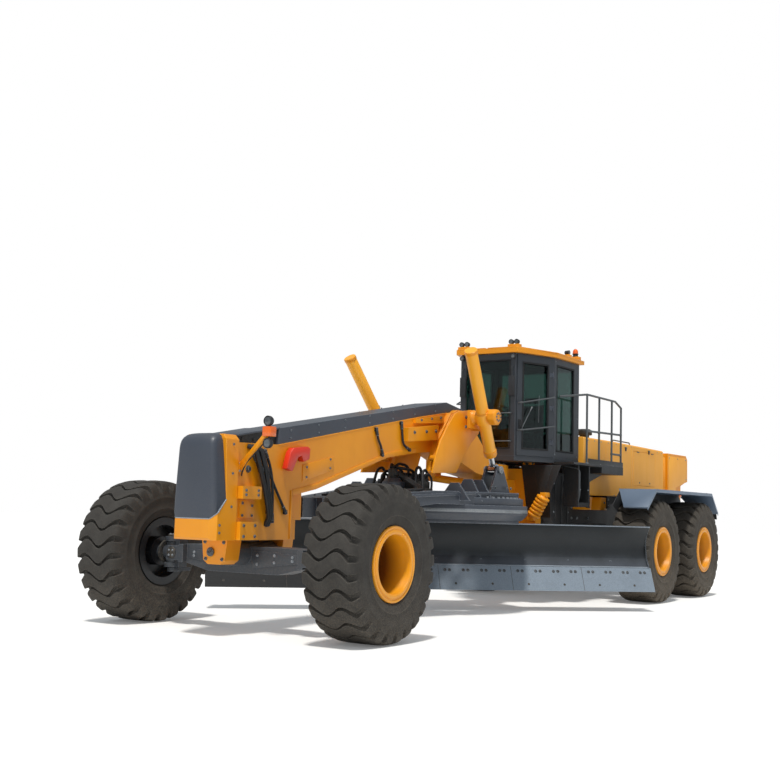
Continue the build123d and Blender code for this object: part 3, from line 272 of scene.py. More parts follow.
BLADE_TURN = math.radians(44)
FRONT_OUT, REAR_OUT = (abs(centre(f"tyre_{place}_left").y) for place in ("front", "mid"))
YELLOW = paint("yellow_paint", "F09C06 E58F04 D08204 F7B43C", 0.40, 0.07, 0.5, 0.08)
HOOD_YELLOW = paint("hood_yellow", "FFB43C F6A930 E89C2A FFC464", 0.50, 0.08, 0.5, 0.05)
CHASSIS = paint("chassis_paint", "F09C06 E58F04 D08204 F7B43C", 0.42, 0.10, 0.4, 0.05, black_from=AX - 7.156)
ROD_YELLOW = paint("cylinder_yellow", "FFB52E FAAA20 E79A14 FFC860", 0.34, 0.05, 0.5)
# the rim finishes carry painted shade, with some dirt, in the deep dish and on the inboard side
RIM_FRONT = paint("rim_yellow_front", "F0A010 E59408 C87C06 F9C25C", 0.36, 0.08, 0.5, dish_shade_middle=FRONT_OUT)
RIM_REAR = paint("rim_yellow_rear", "F0A010 E59408 C87C06 F9C25C", 0.36, 0.08, 0.5, dish_shade_middle=REAR_OUT)
RED = paint("red_paint", "EE3B20 DF3118 B72A14 F46A50", 0.32, 0.08, 0.4)
SLATE = paint("slate_paint", "3F4550 383E49 484F5A 8C97A3", 0.42, 0.07, 0.45)
FRAME_SLATE = paint("frame_slate", "3E444E 333943 4C525D AAB3BE", 0.45, 0.12, 0.9)
CAB_SLATE = paint("cab_slate", "30353C 2A2F36 383E46 6C757F", 0.42, 0.07, 0.5)
FENDER = paint("fender_slate", "627388 5A6B7F 6E7F92 9AA9BA", 0.45, 0.08, 0.5)
BLACK = paint("black_paint", "1D1F22 17191B 25282B 54585E", 0.50, 0.10, 0.5)
AXLE_GREY = paint("axle_grey", "3C4148 33383F 474D54 7A828A", 0.50, 0.10, 0.7)
CAST = paint("cast_black", "232425 1B1C1D 303132 4A4B4C", 0.65, 0.30, 0.4)
RAIL = paint("rail_grey", "4B5054 43484C 565C60 83898E", 0.45, 0.12, 0.5)
# the moldboard's lower face gets painted light
BLADE = steel("blade_steel", "272A2D 303437 202325", 0.48, BLADE_TURN, polished=True)
# the cutting edge's right end gets painted shade
EDGE = steel("edge_steel", "76828E 8A96A2 65707B", 0.58, BLADE_TURN, rust=0.4, shaded_end=True)
LIP = steel("lip_steel", "8A949E 98A2AC 78828C", 0.5, BLADE_TURN)
BOLT = steel("bolt_steel", "7B7F83 94989B 5F6366", 0.38)
DARK_BOLT = steel("dark_bolt", "35383B 44474A 26282A", 0.5)
TYRE = rubber("tyre_rubber", "3A3835", "302E2C", 0.35)
TYRE_REAR = rubber("tyre_rubber_dusty", "423D37", "37332E", 0.65)
CHROME = plain("chrome_rod", "C9CCD0", "B4B8BC", 0.14, 90.0, 0.02, 1.0)
HOSE = plain("hose_rubber", "17181A", "222427", 0.55, 300.0, 0.3)
TRIM = plain("trim_plastic", "1E2023", "2A2C30", 0.55, 240.0, 0.25)
GASKET = plain("gasket_rubber", "101113", "1A1B1D", 0.7, 300.0, 0.25)
LENS = plain("lamp_lens", "62686C", "43484C", 0.12, 60.0, 0.25, Coat_Weight=0.8)
AMBER = plain("amber_dome", "F2700E", "E8600A", 0.25, 90.0, 0.12, Coat_Weight=0.6)
TAIL_RED = plain("tail_lens", "A81412", "8A0F0E", 0.2, 140.0, 0.3, Coat_Weight=0.6)
SCREEN = plain("screen_glass", "0F6E78", "12808A", 0.18, 200.0, 0.02, Coat_Weight=0.7)
MIRROR = plain("mirror_glass", "B9C0C6", "AAB2B8", 0.06, 20.0, 0.01, 1.0)
DECK = deck_plate("deck_plate")
GLASS = glass("cab_glass", "5B7A73")
FABRIC = cloth("seat_fabric", "25272B")
# slots that a finish always has
SLOTS = {}
for slot, finishes in (("yellow_paint", (YELLOW, HOOD_YELLOW, RIM_FRONT, RIM_REAR)), ("blade_steel",
                                                                                      (BLADE,)),
                       ("slate_paint", (SLATE, FRAME_SLATE, AXLE_GREY, FENDER)), ("black_paint", (BLACK,))):
    for finish in finishes:
        SLOTS[finish.name] = slot


# ---- pieces
def as_object(bm, name, finish):
    """Turns a bmesh into a smooth-shaded object."""
    bmesh.ops.recalc_face_normals(bm, faces=bm.faces)
    mesh = bpy.data.meshes.new(name)
    bm.to_mesh(mesh)
    bm.free()
    mesh.materials.append(finish)
    mesh.shade_smooth()
    obj = bpy.data.objects.new(name, mesh)
    bpy.context.scene.collection.objects.link(obj)
    return obj


def rounded(obj, width, sharp):
    """Rounds an object's edges sharper than an angle, and splits the shading at those left."""
    if width:
        cut = obj.modifiers.new("bevel", "BEVEL")
        cut.width, cut.segments, cut.limit_method = width, 2, "ANGLE"
        cut.angle_limit = math.radians(sharp)
    obj.modifiers.new("edges", "EDGE_SPLIT").split_angle = math.radians(35)


class Piece:
    """One mesh, made of simple runs of geometry. Points are (station, y, z); side -1 mirrors y."""

    def __init__(self, name, body, finish, bevel=0.004, slot=None, side=1, place=Matrix()):
        self.name, self.body, self.finish, self.bevel = name, body, finish, bevel
        self.slot = slot or SLOTS.get(finish.name)
        self.side, self.place, self.bm = side, place, bmesh.new()

    def spot(self, p):
        p = self.place @ Vector(p)
        return Vector((AX + p.x, self.side * p.y, p.z))

    def loops(self, rings, cap=True):
        """Faces between successive rings of points."""
        rows = [[self.bm.verts.new(p) for p in ring] for ring in rings]
        n = len(rows[0])
        for a, b in zip(rows, rows[1:]):
            for i in range(n):
                self.bm.faces.new((a[i], a[(i + 1) % n], b[(i + 1) % n], b[i]))
        if cap:
            self.bm.faces.new(rows[0])
            self.bm.faces.new(rows[-1])
        return self

    def block(self, x, y, z):
        corners = ((0, 0), (1, 0), (1, 1), (0, 1))
        return self.loops([[self.spot((x[i], y[j], h)) for i, j in corners] for h in z])

    def slab(self, points, push):
        """Polygon of points pushed along a vector."""
        push = Vector(push)
        return self.loops([[self.spot(p) for p in points], [self.spot(Vector(p) + push) for p in points]])

    def plate(self, outline, y0, y1):
        """Outline of (x, z) points between two y planes."""
        return self.slab([(x, y0, z) for x, z in outline], (0, y1 - y0, 0))

    def lathe(self, start, axis, profile, n=32, turn=0.0, cap=True):
        """(distance, radius) pairs spun about an axis."""
        axis = Vector(axis).normalized()
        side = axis.orthogonal().normalized()
        up = axis.cross(side)
        spokes = [side * math.cos(a) + up * math.sin(a) for a in (2 * math.pi * i / n + turn
                                                                  for i in range(n))]
        return self.loops([[self.spot(Vector(start) + axis * along + spoke * radius) for spoke in spokes]
                           for along, radius in profile], cap)

    def ring(self, start, axis, profile, n=64):
        """Closed section of (distance, radius) pairs spun about an axis."""
        return self.lathe(start, axis, [*profile, profile[0]], n, cap=False)

    def drum(self, a, b, radius, n=32):
        """Cylinder between two points, with a small chamfer at its ends."""
        a, b = Vector(a), Vector(b)
        length = (b - a).length
        lip = min(0.006, radius * 0.3, length * 0.3)
        return self.lathe(a, b - a, [(0, radius - lip), (lip, radius), (length - lip, radius),
                                     (length, radius - lip)], n)

    def bolt(self, at, axis, radius, high):
        """Hex head on a washer."""
        axis = Vector(axis).normalized()
        self.lathe(at, axis, [(0, radius * 1.35), (high * 0.25, radius * 1.35)], 16)
        start = Vector(at) + axis * high * 0.2
        return self.lathe(start, axis, [(0, radius), (high * 0.85, radius), (high, radius * 0.85)], 6)

    def studs(self, y, radius, high, *places):
        """Bolts on the plane y at (x, z) places."""
        for x, z in places:
            self.bolt((x, y, z), Y, radius, high)

    def bolt_circle(self, at, axis, reach, n, radius, high, turn=0.0):
        """Bolts spread evenly about one of the frame's axes; turn is a share of their spacing."""
        one, two = (v for v in (X, Y, Z) if not v.dot(axis))
        for i in range(n):
            a = 2 * math.pi * (i + turn) / n
            self.bolt(Vector(at) + (one * math.cos(a) + two * math.sin(a)) * reach, axis, radius, high)

    def pipe(self, points, radius, n=10, bend=0.0):
        """Tube through points, with each corner rounded by a number of short steps."""
        pts = [Vector(p) for p in points]
        line = [pts[0]]
        for before, here, after in zip(pts, pts[1:], pts[2:]):
            if not bend:
                line.append(here)
                continue
            cut = min(bend, (here - before).length * 0.45, (after - here).length * 0.45)
            start = here + (before - here).normalized() * cut
            end = here + (after - here).normalized() * cut
            for i in range(7):
                t = i / 6
                line.append(start * (1 - t) ** 2 + here * 2 * t * (1 - t) + end * t * t)
        line.append(pts[-1])
        rings, side = [], None
        for i, p in enumerate(line):
            ahead = (line[min(i + 1, len(line) - 1)] - line[max(i - 1, 0)]).normalized()
            side = side - ahead * side.dot(ahead) if side else ahead.orthogonal()
            side = side.normalized()
            up = ahead.cross(side)
            turns = [2 * math.pi * k / n for k in range(n)]
            rings.append([self.spot(p + (side * math.cos(a) + up * math.sin(a)) * radius) for a in turns])
        return self.loops(rings)

    def done(self, replaces=()):
        bmesh.ops.remove_doubles(self.bm, verts=self.bm.verts, dist=0.00002)
        obj = as_object(self.bm, self.name, self.finish)
        rounded(obj, self.bevel, 40)
        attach(obj, self.body)
        if replaces:
            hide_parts(*replaces)


def sides(name, body, finish, bevel=0.004, slot=None, replaces=()):
    """The left piece and then its mirror image on the right, each finished once it is filled."""
    for side, sign in SIDES:
        piece = Piece(f"{name}_{side}", body.format(side), finish, bevel, slot, sign)
        yield piece
        piece.done([node.format(side) for node in replaces])


# ---- CAD nodes: finishes and softened edges
def dress(finish, *nodes, soften=0.006):
    """Gives CAD nodes a finish and rounds their sharp edges."""
    for name in nodes:
        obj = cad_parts[name]
        if not obj.material_slots:
            obj.data.materials.append(finish)
        for s in obj.material_slots:
            s.material = finish
        if soften:
            obj.modifiers.new("weld", "WELD").merge_threshold = 0.00005
            rounded(obj, soften, 38)


dress(YELLOW, "main_beam", "nose_box", "cab_roof", "rear_grille")
dress(CHASSIS, "rear_frame")
dress(HOOD_YELLOW, "engine_hood", soften=0.01)
dress(SLATE, "beam_cover", soften=0.012)
dress(FRAME_SLATE, "drawbar", "circle")
dress(AXLE_GREY, "front_axle", "rear_axle")
dress(CAB_SLATE, "cab_floor", "cab_frame")
dress(BLACK, "fuel_tank", "walkways")
dress(RAIL, "handrails", soften=0)
dress(CAST, "engine_block")
dress(BLADE, "moldboard", "blade_frame")
dress(EDGE, "cutting_edge", soften=0.004)
dress(GLASS, "cab_windows", soften=0)
dress(TRIM, "control_console", soften=0.012)
dress(HOSE, "frame_hoses", soften=0)
dress(YELLOW, "centre_shift_barrel", soften=0.003)
dress(CHROME, "centre_shift_rod", soften=0)
for side, sign in SIDES:
    dress(AXLE_GREY, f"lean_carrier_{side}", f"knuckle_{side}")
    dress(BLACK, f"tandem_case_{side}")
    dress(ROD_YELLOW, f"lift_barrel_{side}", soften=0.004)
    dress(CHROME, f"lift_rod_{side}", soften=0)
    dress(HOOD_YELLOW, f"hood_door_{side}", soften=0.003)
    dress(CAB_SLATE, f"cab_door_{side}", soften=0.003)
    dress(GLASS, f"door_glass_{side}", soften=0)
    for place, finish in (("front", RIM_FRONT), ("mid", RIM_REAR), ("rear", RIM_REAR)):
        dress(finish, f"rim_{place}_{side}", soften=0.005)


# ---- tyres
LUGS = 26
TREAD_HALF = 0.31
GROOVE = 0.052                                  # depth between the lugs
# radius, half width: from the bead to the crown
TYRE_SECTION = ((0.448, 0.306), (0.462, 0.328), (0.5, 0.345), (0.535, 0.356), (0.56, 0.362), (0.566, 0.368),
                (0.582, 0.368), (0.588, 0.364), (0.65, 0.371), (0.7, 0.3735), (0.706, 0.3745),
                (0.722, 0.3745), (0.728, 0.371), (0.77, 0.37), (0.8, 0.366), (0.83, 0.361), (0.86, 0.353),
                (0.885, 0.343), (0.905, 0.329), (0.918, 0.311), (0.926, 0.285), (0.931, 0.25), (0.934, 0.21),
                (0.936, 0.165), (0.937, 0.12), (0.9375, 0.075), (0.9375, 0.03))
# place within one lug's pitch, how much of the groove's depth there
LUG_COLUMNS = ((0.0, 0.0), (0.16, 0.0), (0.27, 0.0), (0.33, 0.06), (0.37, 0.8), (0.41, 1.0), (0.5, 1.0),
               (0.59, 1.0), (0.63, 0.8), (0.67, 0.06), (0.73, 0.0), (0.84, 0.0))


def tyre(name, body, wheel, sign, finish, replaced):
    """Lugged tyre: wavy grooves across the tread that run out down the shoulders."""
    section = [*TYRE_SECTION, *((r, -y) for r, y in reversed(TYRE_SECTION))]
    pitch = 2 * math.pi / LUGS
    bm = bmesh.new()
    rows = []
    for r, y in section:
        across = max(-TREAD_HALF, min(TREAD_HALF, y))
        wave = 0.27 * math.sin(2 * math.pi * (across - 0.04) / 0.46)
        narrow = 0.46 + 0.75 * min(1.0, abs(across) / TREAD_HALF) ** 2
        deep = GROOVE if r > 0.90 else GROOVE * max(0.0, (r - 0.775) / 0.125) ** 0.8
        ring = []
        for lug in range(LUGS):
            for place, share in LUG_COLUMNS:
                spread = narrow if 0.3 < place < 0.7 else 1.0
                if place in (0.27, 0.73):
                    spread = max(1.0, narrow * 0.93)
                a = (lug + 0.5 + (place - 0.5) * spread + wave) * pitch
                wobble = 0.0012 * math.sin(lug * 2.4 + y * 40) + 0.0008 * math.sin(a * 91 + y * 70)
                radius = r - deep * share - abs(wobble)
                inward = deep * share * 0.55 if r < 0.925 else 0.0
                ring.append(bm.verts.new((wheel.x + radius * math.cos(a), wheel.y
                                          + sign * (y - math.copysign(inward, y)), wheel.z
                                          + radius * math.sin(a))))
        rows.append(ring)
    n = len(rows[0])
    for a, b in zip(rows, rows[1:]):
        for i in range(n):
            bm.faces.new((a[i], a[(i + 1) % n], b[(i + 1) % n], b[i]))
    obj = as_object(bm, name, finish)
    obj.modifiers.new("edges", "EDGE_SPLIT").split_angle = math.radians(42)
    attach(obj, body)
    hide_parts(replaced)


def rim_trim(name, body, finish, x, y, sign):
    """Lock ring, side ring step, disc bolts, hub cover and valve."""
    p = Piece(name, body, finish, 0.003, side=sign)
    face, hub, disc = y + 0.335, y - 0.06, y - 0.12
    p.ring((x, face, AXLE_Z), Y, [(-0.004, 0.349), (0.01, 0.352), (0.014, 0.362), (0.012, 0.392),
                                  (0.002, 0.402), (-0.004, 0.402)], 72)
    p.ring((x, face, AXLE_Z), Y, [(-0.004, 0.412), (0.006, 0.416), (0.008, 0.438), (-0.004, 0.442)], 72)
    for turn in (-0.06, 0.06):
        a = math.radians(118) + turn
        at = Vector((x + 0.372 * math.cos(a), face + 0.012, AXLE_Z + 0.372 * math.sin(a)))
        p.drum(at, at + Y * 0.012, 0.013, 16)
    p.lathe((x, hub, AXLE_Z), Y, [(-0.002, 0.165), (0.012, 0.16), (0.03, 0.12), (0.036, 0.06),
                                  (0.036, 0.001)], 48)
    p.ring((x, disc, AXLE_Z), Y, [(-0.002, 0.345), (0.018, 0.338), (0.022, 0.322), (0.004, 0.3),
                                  (-0.002, 0.296)])
    p.done()
    q = Piece(name + "_bolts", body, BOLT, 0, side=sign)
    q.bolt_circle((x, disc, AXLE_Z), Y, 0.245, 20, 0.017, 0.024)
    q.bolt_circle((x, hub + 0.03, AXLE_Z), Y, 0.095, 8, 0.011, 0.012, 0.5)
    q.pipe([(x + 0.33, y - 0.09, AXLE_Z), (x + 0.325, y + 0.05, AXLE_Z), (x + 0.3, y + 0.12, AXLE_Z)], 0.007,
           8, 0.03)
    q.done()


for side, sign in SIDES:
    for place, x, rubber_finish, rim in (("front", 0.0, TYRE, RIM_FRONT), ("mid", MID_X, TYRE_REAR, RIM_REAR),
                                         ("rear", REAR_X, TYRE_REAR, RIM_REAR)):
        end = f"{place}_{side}"
        hub = centre(f"rim_{end}")
        hub.y = centre(f"tyre_{end}").y
        tyre(f"tread_{end}", f"wheel_{end}", hub, sign, rubber_finish, f"tyre_{end}")
        rim_trim(f"rim_trim_{end}", f"wheel_{end}", rim, x, abs(hub.y), sign)


# ---- front frame
BEAM_Y = 0.3                                  # beam's side
BEAM_LOW = ((-0.42, 1.713), (-0.93, 1.808), (-2.62, 2.312), (-3.39, 2.424))
COVER_LOW = ((-0.1, 2.35), (-3.45, 2.972), (-4.28, 3.106))


def along(line, x):
    """Height of a run of (x, z) points at a station."""
    for (x0, z0), (x1, z1) in zip(line, line[1:]):
        if x1 <= x <= x0:
            return z0 + (z1 - z0) * (x - x0) / (x1 - x0)
    return line[-1][1]


for p in sides("beam_flange", FRONT, YELLOW, 0.002):
    for (x0, z0), (x1, z1) in zip(BEAM_LOW, BEAM_LOW[1:]):
        p.plate([(x0, z0 + 0.004), (x1, z1 + 0.004), (x1, z1 + 0.075), (x0, z0 + 0.075)], BEAM_Y - 0.002,
                BEAM_Y + 0.012)
    p.plate([(-0.385, 1.16), (-0.415, 1.16), (-0.415, 1.78), (-0.385, 1.78)], BEAM_Y - 0.002, BEAM_Y + 0.014)
    p.pipe([(x, BEAM_Y, z - 0.006) for x, z in COVER_LOW], 0.007, 8)
    p.plate([(0.62, 1.42), (0.34, 1.42), (0.34, 1.6), (0.5, 1.64), (0.62, 1.64)], BEAM_Y - 0.002,
            BEAM_Y + 0.016)
    p.plate([(-0.62, 1.9), (-1.3, 2.08), (-1.3, 2.26), (-0.62, 2.12)], BEAM_Y - 0.002, BEAM_Y + 0.01)
for p in sides("beam_bolts", FRONT, DARK_BOLT, 0):
    p.bolt((0.473, BEAM_Y, 2.016), Y, 0.034, 0.026)
    for x in (-0.35, -0.95, -1.55, -2.15, -2.75, -3.35, -3.95):
        p.bolt((x, BEAM_Y, along(COVER_LOW, x) + 0.05), Y, 0.011, 0.01)
        p.bolt((x, BEAM_Y, along(COVER_LOW, x) + 0.155), Y, 0.011, 0.01)
    p.studs(0.42, 0.014, 0.012, (0.4, 1.7), (0.4, 1.755), (0.63, 1.7), (0.63, 1.755))
    p.studs(0.4, 0.016, 0.014, (0.42, 1.2), (0.42, 1.33), (0.63, 1.2), (0.63, 1.33))
    p.studs(BEAM_Y + 0.016, 0.014, 0.012, (0.39, 1.45), (0.39, 1.57), (0.57, 1.45), (0.57, 1.6))
    p.studs(BEAM_Y + 0.01, 0.013, 0.01, (-0.7, 1.96), (-1.22, 2.1), (-1.22, 2.22), (-0.7, 2.09))
    for x in (-3.18, -3.52, -3.8):
        p.bolt((x, 0.41, 2.72 + (-3.18 - x) * 0.1), Y, 0.02, 0.016)
    for x in (-3.45, -3.75, -4.02):
        p.bolt((x, 0.36, 2.925 + (-3.45 - x) * 0.14), Y, 0.016, 0.014)


# height, front station, rear station and half width of the nose's cover
NOSE_LEVELS = ((1.404, 1.109, 1.103, 0.341), (1.475, 1.11, 1.038, 0.34), (1.637, 1.11, 0.893, 0.334),
               (1.95, 1.111, 0.912, 0.314), (2.24, 1.111, 0.93, 0.295), (2.29, 1.107, 0.931, 0.291),
               (2.335, 1.094, 0.931, 0.284), (2.372, 1.071, 0.931, 0.271), (2.402, 1.037, 0.931, 0.249),
               (2.42, 0.996, 0.931, 0.215), (2.429, 0.95, 0.931, 0.165))
NOSE_CUT = 0.07
nose = Piece("nose_shell", FRONT, SLATE, 0)
rings = []
for z, front, back, half in NOSE_LEVELS:
    half_back = min(half, half - NOSE_CUT + front - back)
    corner = [(back, half_back), (max(front - NOSE_CUT, back), half_back)]
    for i in range(1, 6):
        a = math.radians(18 * i)
        x = front - NOSE_CUT + NOSE_CUT * (i / 5 + 0.14 * math.sin(math.pi * i / 5))
        y = half - NOSE_CUT * (i / 5 - 0.14 * math.sin(math.pi * i / 5))
        corner.append((max(x, back), min(y, half_back)))
    ring = [(x, y, z) for x, y in corner] + [(x, -y, z) for x, y in reversed(corner)]
    rings.append([nose.spot(p) for p in ring])
nose.loops(rings)
nose.done(replaces=("nose_cover",))
# painted highlight: a light steel bead along the cover's lower edge stands in for the highlight on the nose
# box's lip
Piece("nose_highlight_bead", FRONT, LIP, 0, "slate_paint").pipe([(x, sign * y, z) for sign in (1, -1) for x, y,
                                                       z in (((0.893, 0.336, 1.637), (1.036, 0.342, 1.477),
                                                              (1.104, 0.27, 1.404))[::sign])], 0.008, 8,
                                                      0.015).done()
Piece("cover_front", FRONT, SLATE, 0.006).slab([(0.695, -0.3, 2.428), (-0.125, -0.3, 2.572),
                                                (-0.125, 0.3, 2.572), (0.695, 0.3, 2.428)],
                                               (0, 0, -0.022)).done()
gap = Piece("cover_front_gap", FRONT, CAST, 0)
gap.plate([(0.69, 2.34), (0.69, 2.41), (-0.112, 2.55), (-0.102, 2.345)], -0.25, 0.25)
for x in (0.55, 0.33, 0.11):
    gap.drum((x, -0.265, 2.385), (x, 0.265, 2.385), 0.022, 16)
gap.done()
bolts = Piece("nose_bolts", FRONT, DARK_BOLT, 0)
for sign in (1, -1):
    for z in (1.55, 1.95, 2.3):
        bolts.bolt((0.8, sign * 0.34, z), Y * sign, 0.013, 0.011)
    for z in (1.24, 1.33):
        bolts.bolt((1.0, sign * 0.34, z), Y * sign, 0.013, 0.011)
bolts.drum((0.688, -0.05, 0.999), (0.716, -0.05, 0.999), 0.055, 32)
bolts.bolt((0.714, -0.05, 0.999), X, 0.026, 0.018)
for y, z in ((-0.13, 0.915), (0.13, 0.915), (-0.15, 1.12), (0.15, 1.12)):
    bolts.bolt((0.69, y, z), X, 0.018, 0.016)
bolts.done()

# lamp mast on the left of the nose
p = Piece("mast_arm", FRONT, YELLOW, 0.006)
p.block((0.602, 0.688), (0.302, 0.336), (1.965, 2.095))
p.pipe([(0.648, 0.325, 2.04), (0.816, 0.888, 2.442)], 0.038, 4)
p.slab([(0.644, 0.335, 1.975), (0.66, 0.335, 2.1), (0.73, 0.6, 2.235), (0.72, 0.56, 2.18)], (0.016, 0, 0))
p.done(replaces=("lamp_mast",))
Piece("mast_turn_lamp", FRONT, AMBER, 0.01).block((0.762, 0.878), (0.832, 0.958), (2.384, 2.503)).done()
p = Piece("mast_lamp_shells", FRONT, TRIM, 0.004)
for low, high in ((2.5, 2.636), (2.23, 2.38)):
    z = (low + high) / 2
    p.lathe((0.79, 0.896, z), X, [(0, 0.03), (0.01, 0.05), (0.034, 0.06), (0.07, 0.062), (0.078, 0.058),
                                  (0.078, 0.05), (0.066, 0.048)], 32)
    p.block((0.805, 0.835), (0.886, 0.906), (min(z, 2.44), max(z, 2.44)))
p.pipe([(0.8, 0.9, 2.25), (0.775, 0.86, 2.37), (0.725, 0.65, 2.235), (0.668, 0.42, 2.07),
        (0.64, 0.345, 1.955), (0.6, 0.312, 1.93)], 0.009, 8, 0.04)
p.done()
p = Piece("mast_lenses", FRONT, LENS, 0)
for z in (2.568, 2.305):
    p.lathe((0.857, 0.896, z), X, [(0, 0.049), (0.004, 0.048), (0.009, 0.034), (0.011, 0.012),
                                   (0.011, 0.001)], 32)
p.done()
p = Piece("mast_bolts", FRONT, BOLT, 0)
p.studs(0.336, 0.01, 0.01, (0.618, 1.985), (0.672, 1.985), (0.618, 2.075), (0.672, 2.075))
p.done()

Piece("tow_hook", FRONT, RED, 0.012).plate([(-0.17, 2.05), (-0.29, 2.02), (-0.4, 2.2), (-0.47, 2.23),
                                            (-0.52, 2.15), (-0.64, 2.19), (-0.655, 2.33), (-0.6, 2.355),
                                            (-0.3, 2.32), (-0.24, 2.26)], 0.312, 0.4).done()
Piece("hook_seat", FRONT, YELLOW, 0.003).plate([(-0.22, 2.1), (-0.6, 2.2), (-0.6, 2.3), (-0.28, 2.27)], 0.298,
                                               0.314).done()

# ---- beam hoses: crimped ends and clips
HOSE_ENDS = (((0.33, 0.32, 2.25), (-0.115, 0.01, -0.13)), ((-0.27, 0.32, 1.5), (0.225, 0.01, 0.28)),
             ((0.18, 0.32, 2.25), (-0.095, 0.012, -0.17)), ((-0.005, 0.32, 1.39), (0.015, 0.01, 0.23)),
             ((0.4, 0.32, 2.2), (-0.11, 0.008, -0.18)), ((0.075, 0.32, 1.5), (0.045, 0.01, 0.18)),
             ((-2.3, 0.32, 2.7), (-0.03, 0.014, -0.14)), ((-2.47, 0.322, 2.35), (0.07, 0.014, 0.12)),
             ((-2.96, 0.32, 2.84), (0.002, 0.014, -0.14)), ((-3.19, 0.322, 2.46), (0.205, 0.014, 0.07)))
p = Piece("hose_fittings", FRONT, DARK_BOLT, 0)
for at, way in HOSE_ENDS:
    at, way = Vector(at), Vector(way).normalized()
    p.drum(at - way * 0.03, at + way * 0.01, 0.024, 6)
    p.ring(at + way * 0.012, way, [(0, 0.0172), (0, 0.023), (0.075, 0.022), (0.08, 0.0172)], 20)
p.done()

p = Piece("mast_hoses", FRONT, HOSE, 0)
for dx, dy, radius in ((0, 0, 0.03), (-0.085, 0.01, 0.026), (-0.15, -0.02, 0.022)):
    p.pipe([(0.5 + dx, 0.3, 2.3), (0.43 + dx, 0.375 + dy, 2.265), (0.33 + dx, 0.39 + dy, 2.0),
            (0.215 + dx * 0.6, 0.392 + dy, 1.7), (0.12 + dx * 0.4, 0.375 + dy, 1.44), (0.1 + dx * 0.4, 0.3,
                                                                                       1.33)], radius, 14,
           0.1)
    p.ring((0.345 + dx, 0.3885 + dy, 2.045), (-0.1, 0, -0.27), [(0, radius), (0, radius + 0.008),
                                                                (0.06, radius + 0.008), (0.06, radius)], 20)
p.done()

# ---- saddle and lift cylinders
TRUNNION = Vector((-4.29, 0.966, 3.02))
LIFT_EYE = Vector((-4.867, 0.849, 2.234))
DOWN = (LIFT_EYE - TRUNNION).normalized()
OUT = Y.cross(DOWN).normalized()
ACROSS = (Y - DOWN * DOWN.y).normalized()
BARREL_FOOT = TRUNNION + DOWN * 0.705
BARREL_HEAD = TRUNNION - DOWN * 1.186


def trimmed(name, new, body, half, finish):
    """A node's shape with everything beyond a half width cut away and closed."""
    bm = bmesh.new()
    bm.from_mesh(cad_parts[name].data)
    bmesh.ops.remove_doubles(bm, verts=bm.verts, dist=0.00005)
    for sign in (1, -1):
        parts = list(bm.verts) + list(bm.edges) + list(bm.faces)
        cut = bmesh.ops.bisect_plane(bm, geom=parts, plane_co=Y * sign * half, plane_no=Y * sign,
                                     clear_outer=True)
        bmesh.ops.holes_fill(bm, edges=[e for e in cut["geom_cut"] if isinstance(e, bmesh.types.BMEdge)])
    piece = Piece(new, body, finish, 0.006)
    piece.bm = bm
    piece.done(replaces=(name,))


trimmed("lift_saddle", "saddle_yoke", FRONT, 0.797, YELLOW)


# outline of the saddle's outer cheek: station, height
SADDLE_CHEEK = ((-3.326, 2.123), (-4.035, 2.152), (-4.221, 2.376), (-4.478, 2.632), (-4.723, 2.803),
                (-4.739, 2.961), (-4.595, 3.106), (-4.345, 3.14), (-4.102, 3.108), (-3.974, 3.065),
                (-3.768, 2.866), (-3.549, 2.617), (-3.416, 2.378))


for p in sides("saddle_caps", FRONT, YELLOW, 0.006):
    p.lathe((TRUNNION.x, 1.075, TRUNNION.z), Y, [(0, 0.105), (0.02, 0.128), (0.125, 0.128), (0.15, 0.1)], 8,
            math.pi / 8)
    p.lathe((TRUNNION.x, 1.065, TRUNNION.z), Y, [(-0.02, 0.07), (0.015, 0.07), (0.02, 0.092)], 32)
    p.lathe((TRUNNION.x, 0.788, TRUNNION.z), Y, [(0, 0.12), (0.03, 0.112), (0.06, 0.08), (0.075, 0.072)], 32)
    p.plate([(-4.75, 2.995), (-4.63, 3.135), (-4.3, 3.07), (-3.945, 2.64), (-3.745, 2.215), (-4.36, 2.215)],
            0.384, 0.396)
    p.ring((-4.54, 0.384, 2.96), Y, [(0, 0.132), (0, 0.185), (0.03, 0.18), (0.045, 0.14), (0.045, 0.13)], 48)
    p.plate([(-4.36, 2.25), (-3.9, 2.25), (-3.98, 2.45), (-4.3, 2.6)], 0.394, 0.41)
    p.plate(SADDLE_CHEEK, 0.62, 0.65)
    for x, z in ((-3.72, 2.36), (-3.98, 2.62)):
        p.drum((x, 0.38, z), (x, 0.625, z), 0.05, 24)
for p in sides("saddle_bolts", FRONT, DARK_BOLT, 0):
    p.studs(0.65, 0.02, 0.014, (-4.3, 3.03), (-4.3, 2.88), (-4.44, 2.955))
    p.studs(0.396, 0.026, 0.02, (-4.7, 2.93), (-4.64, 2.87), (-4.65, 3.02))
    p.bolt_circle((TRUNNION.x, 1.224, TRUNNION.z), Y, 0.062, 8, 0.013, 0.01)
    p.studs(0.41, 0.02, 0.016, (-4.18, 2.32), (-3.99, 2.32), (-4.06, 2.43), (-4.24, 2.48))
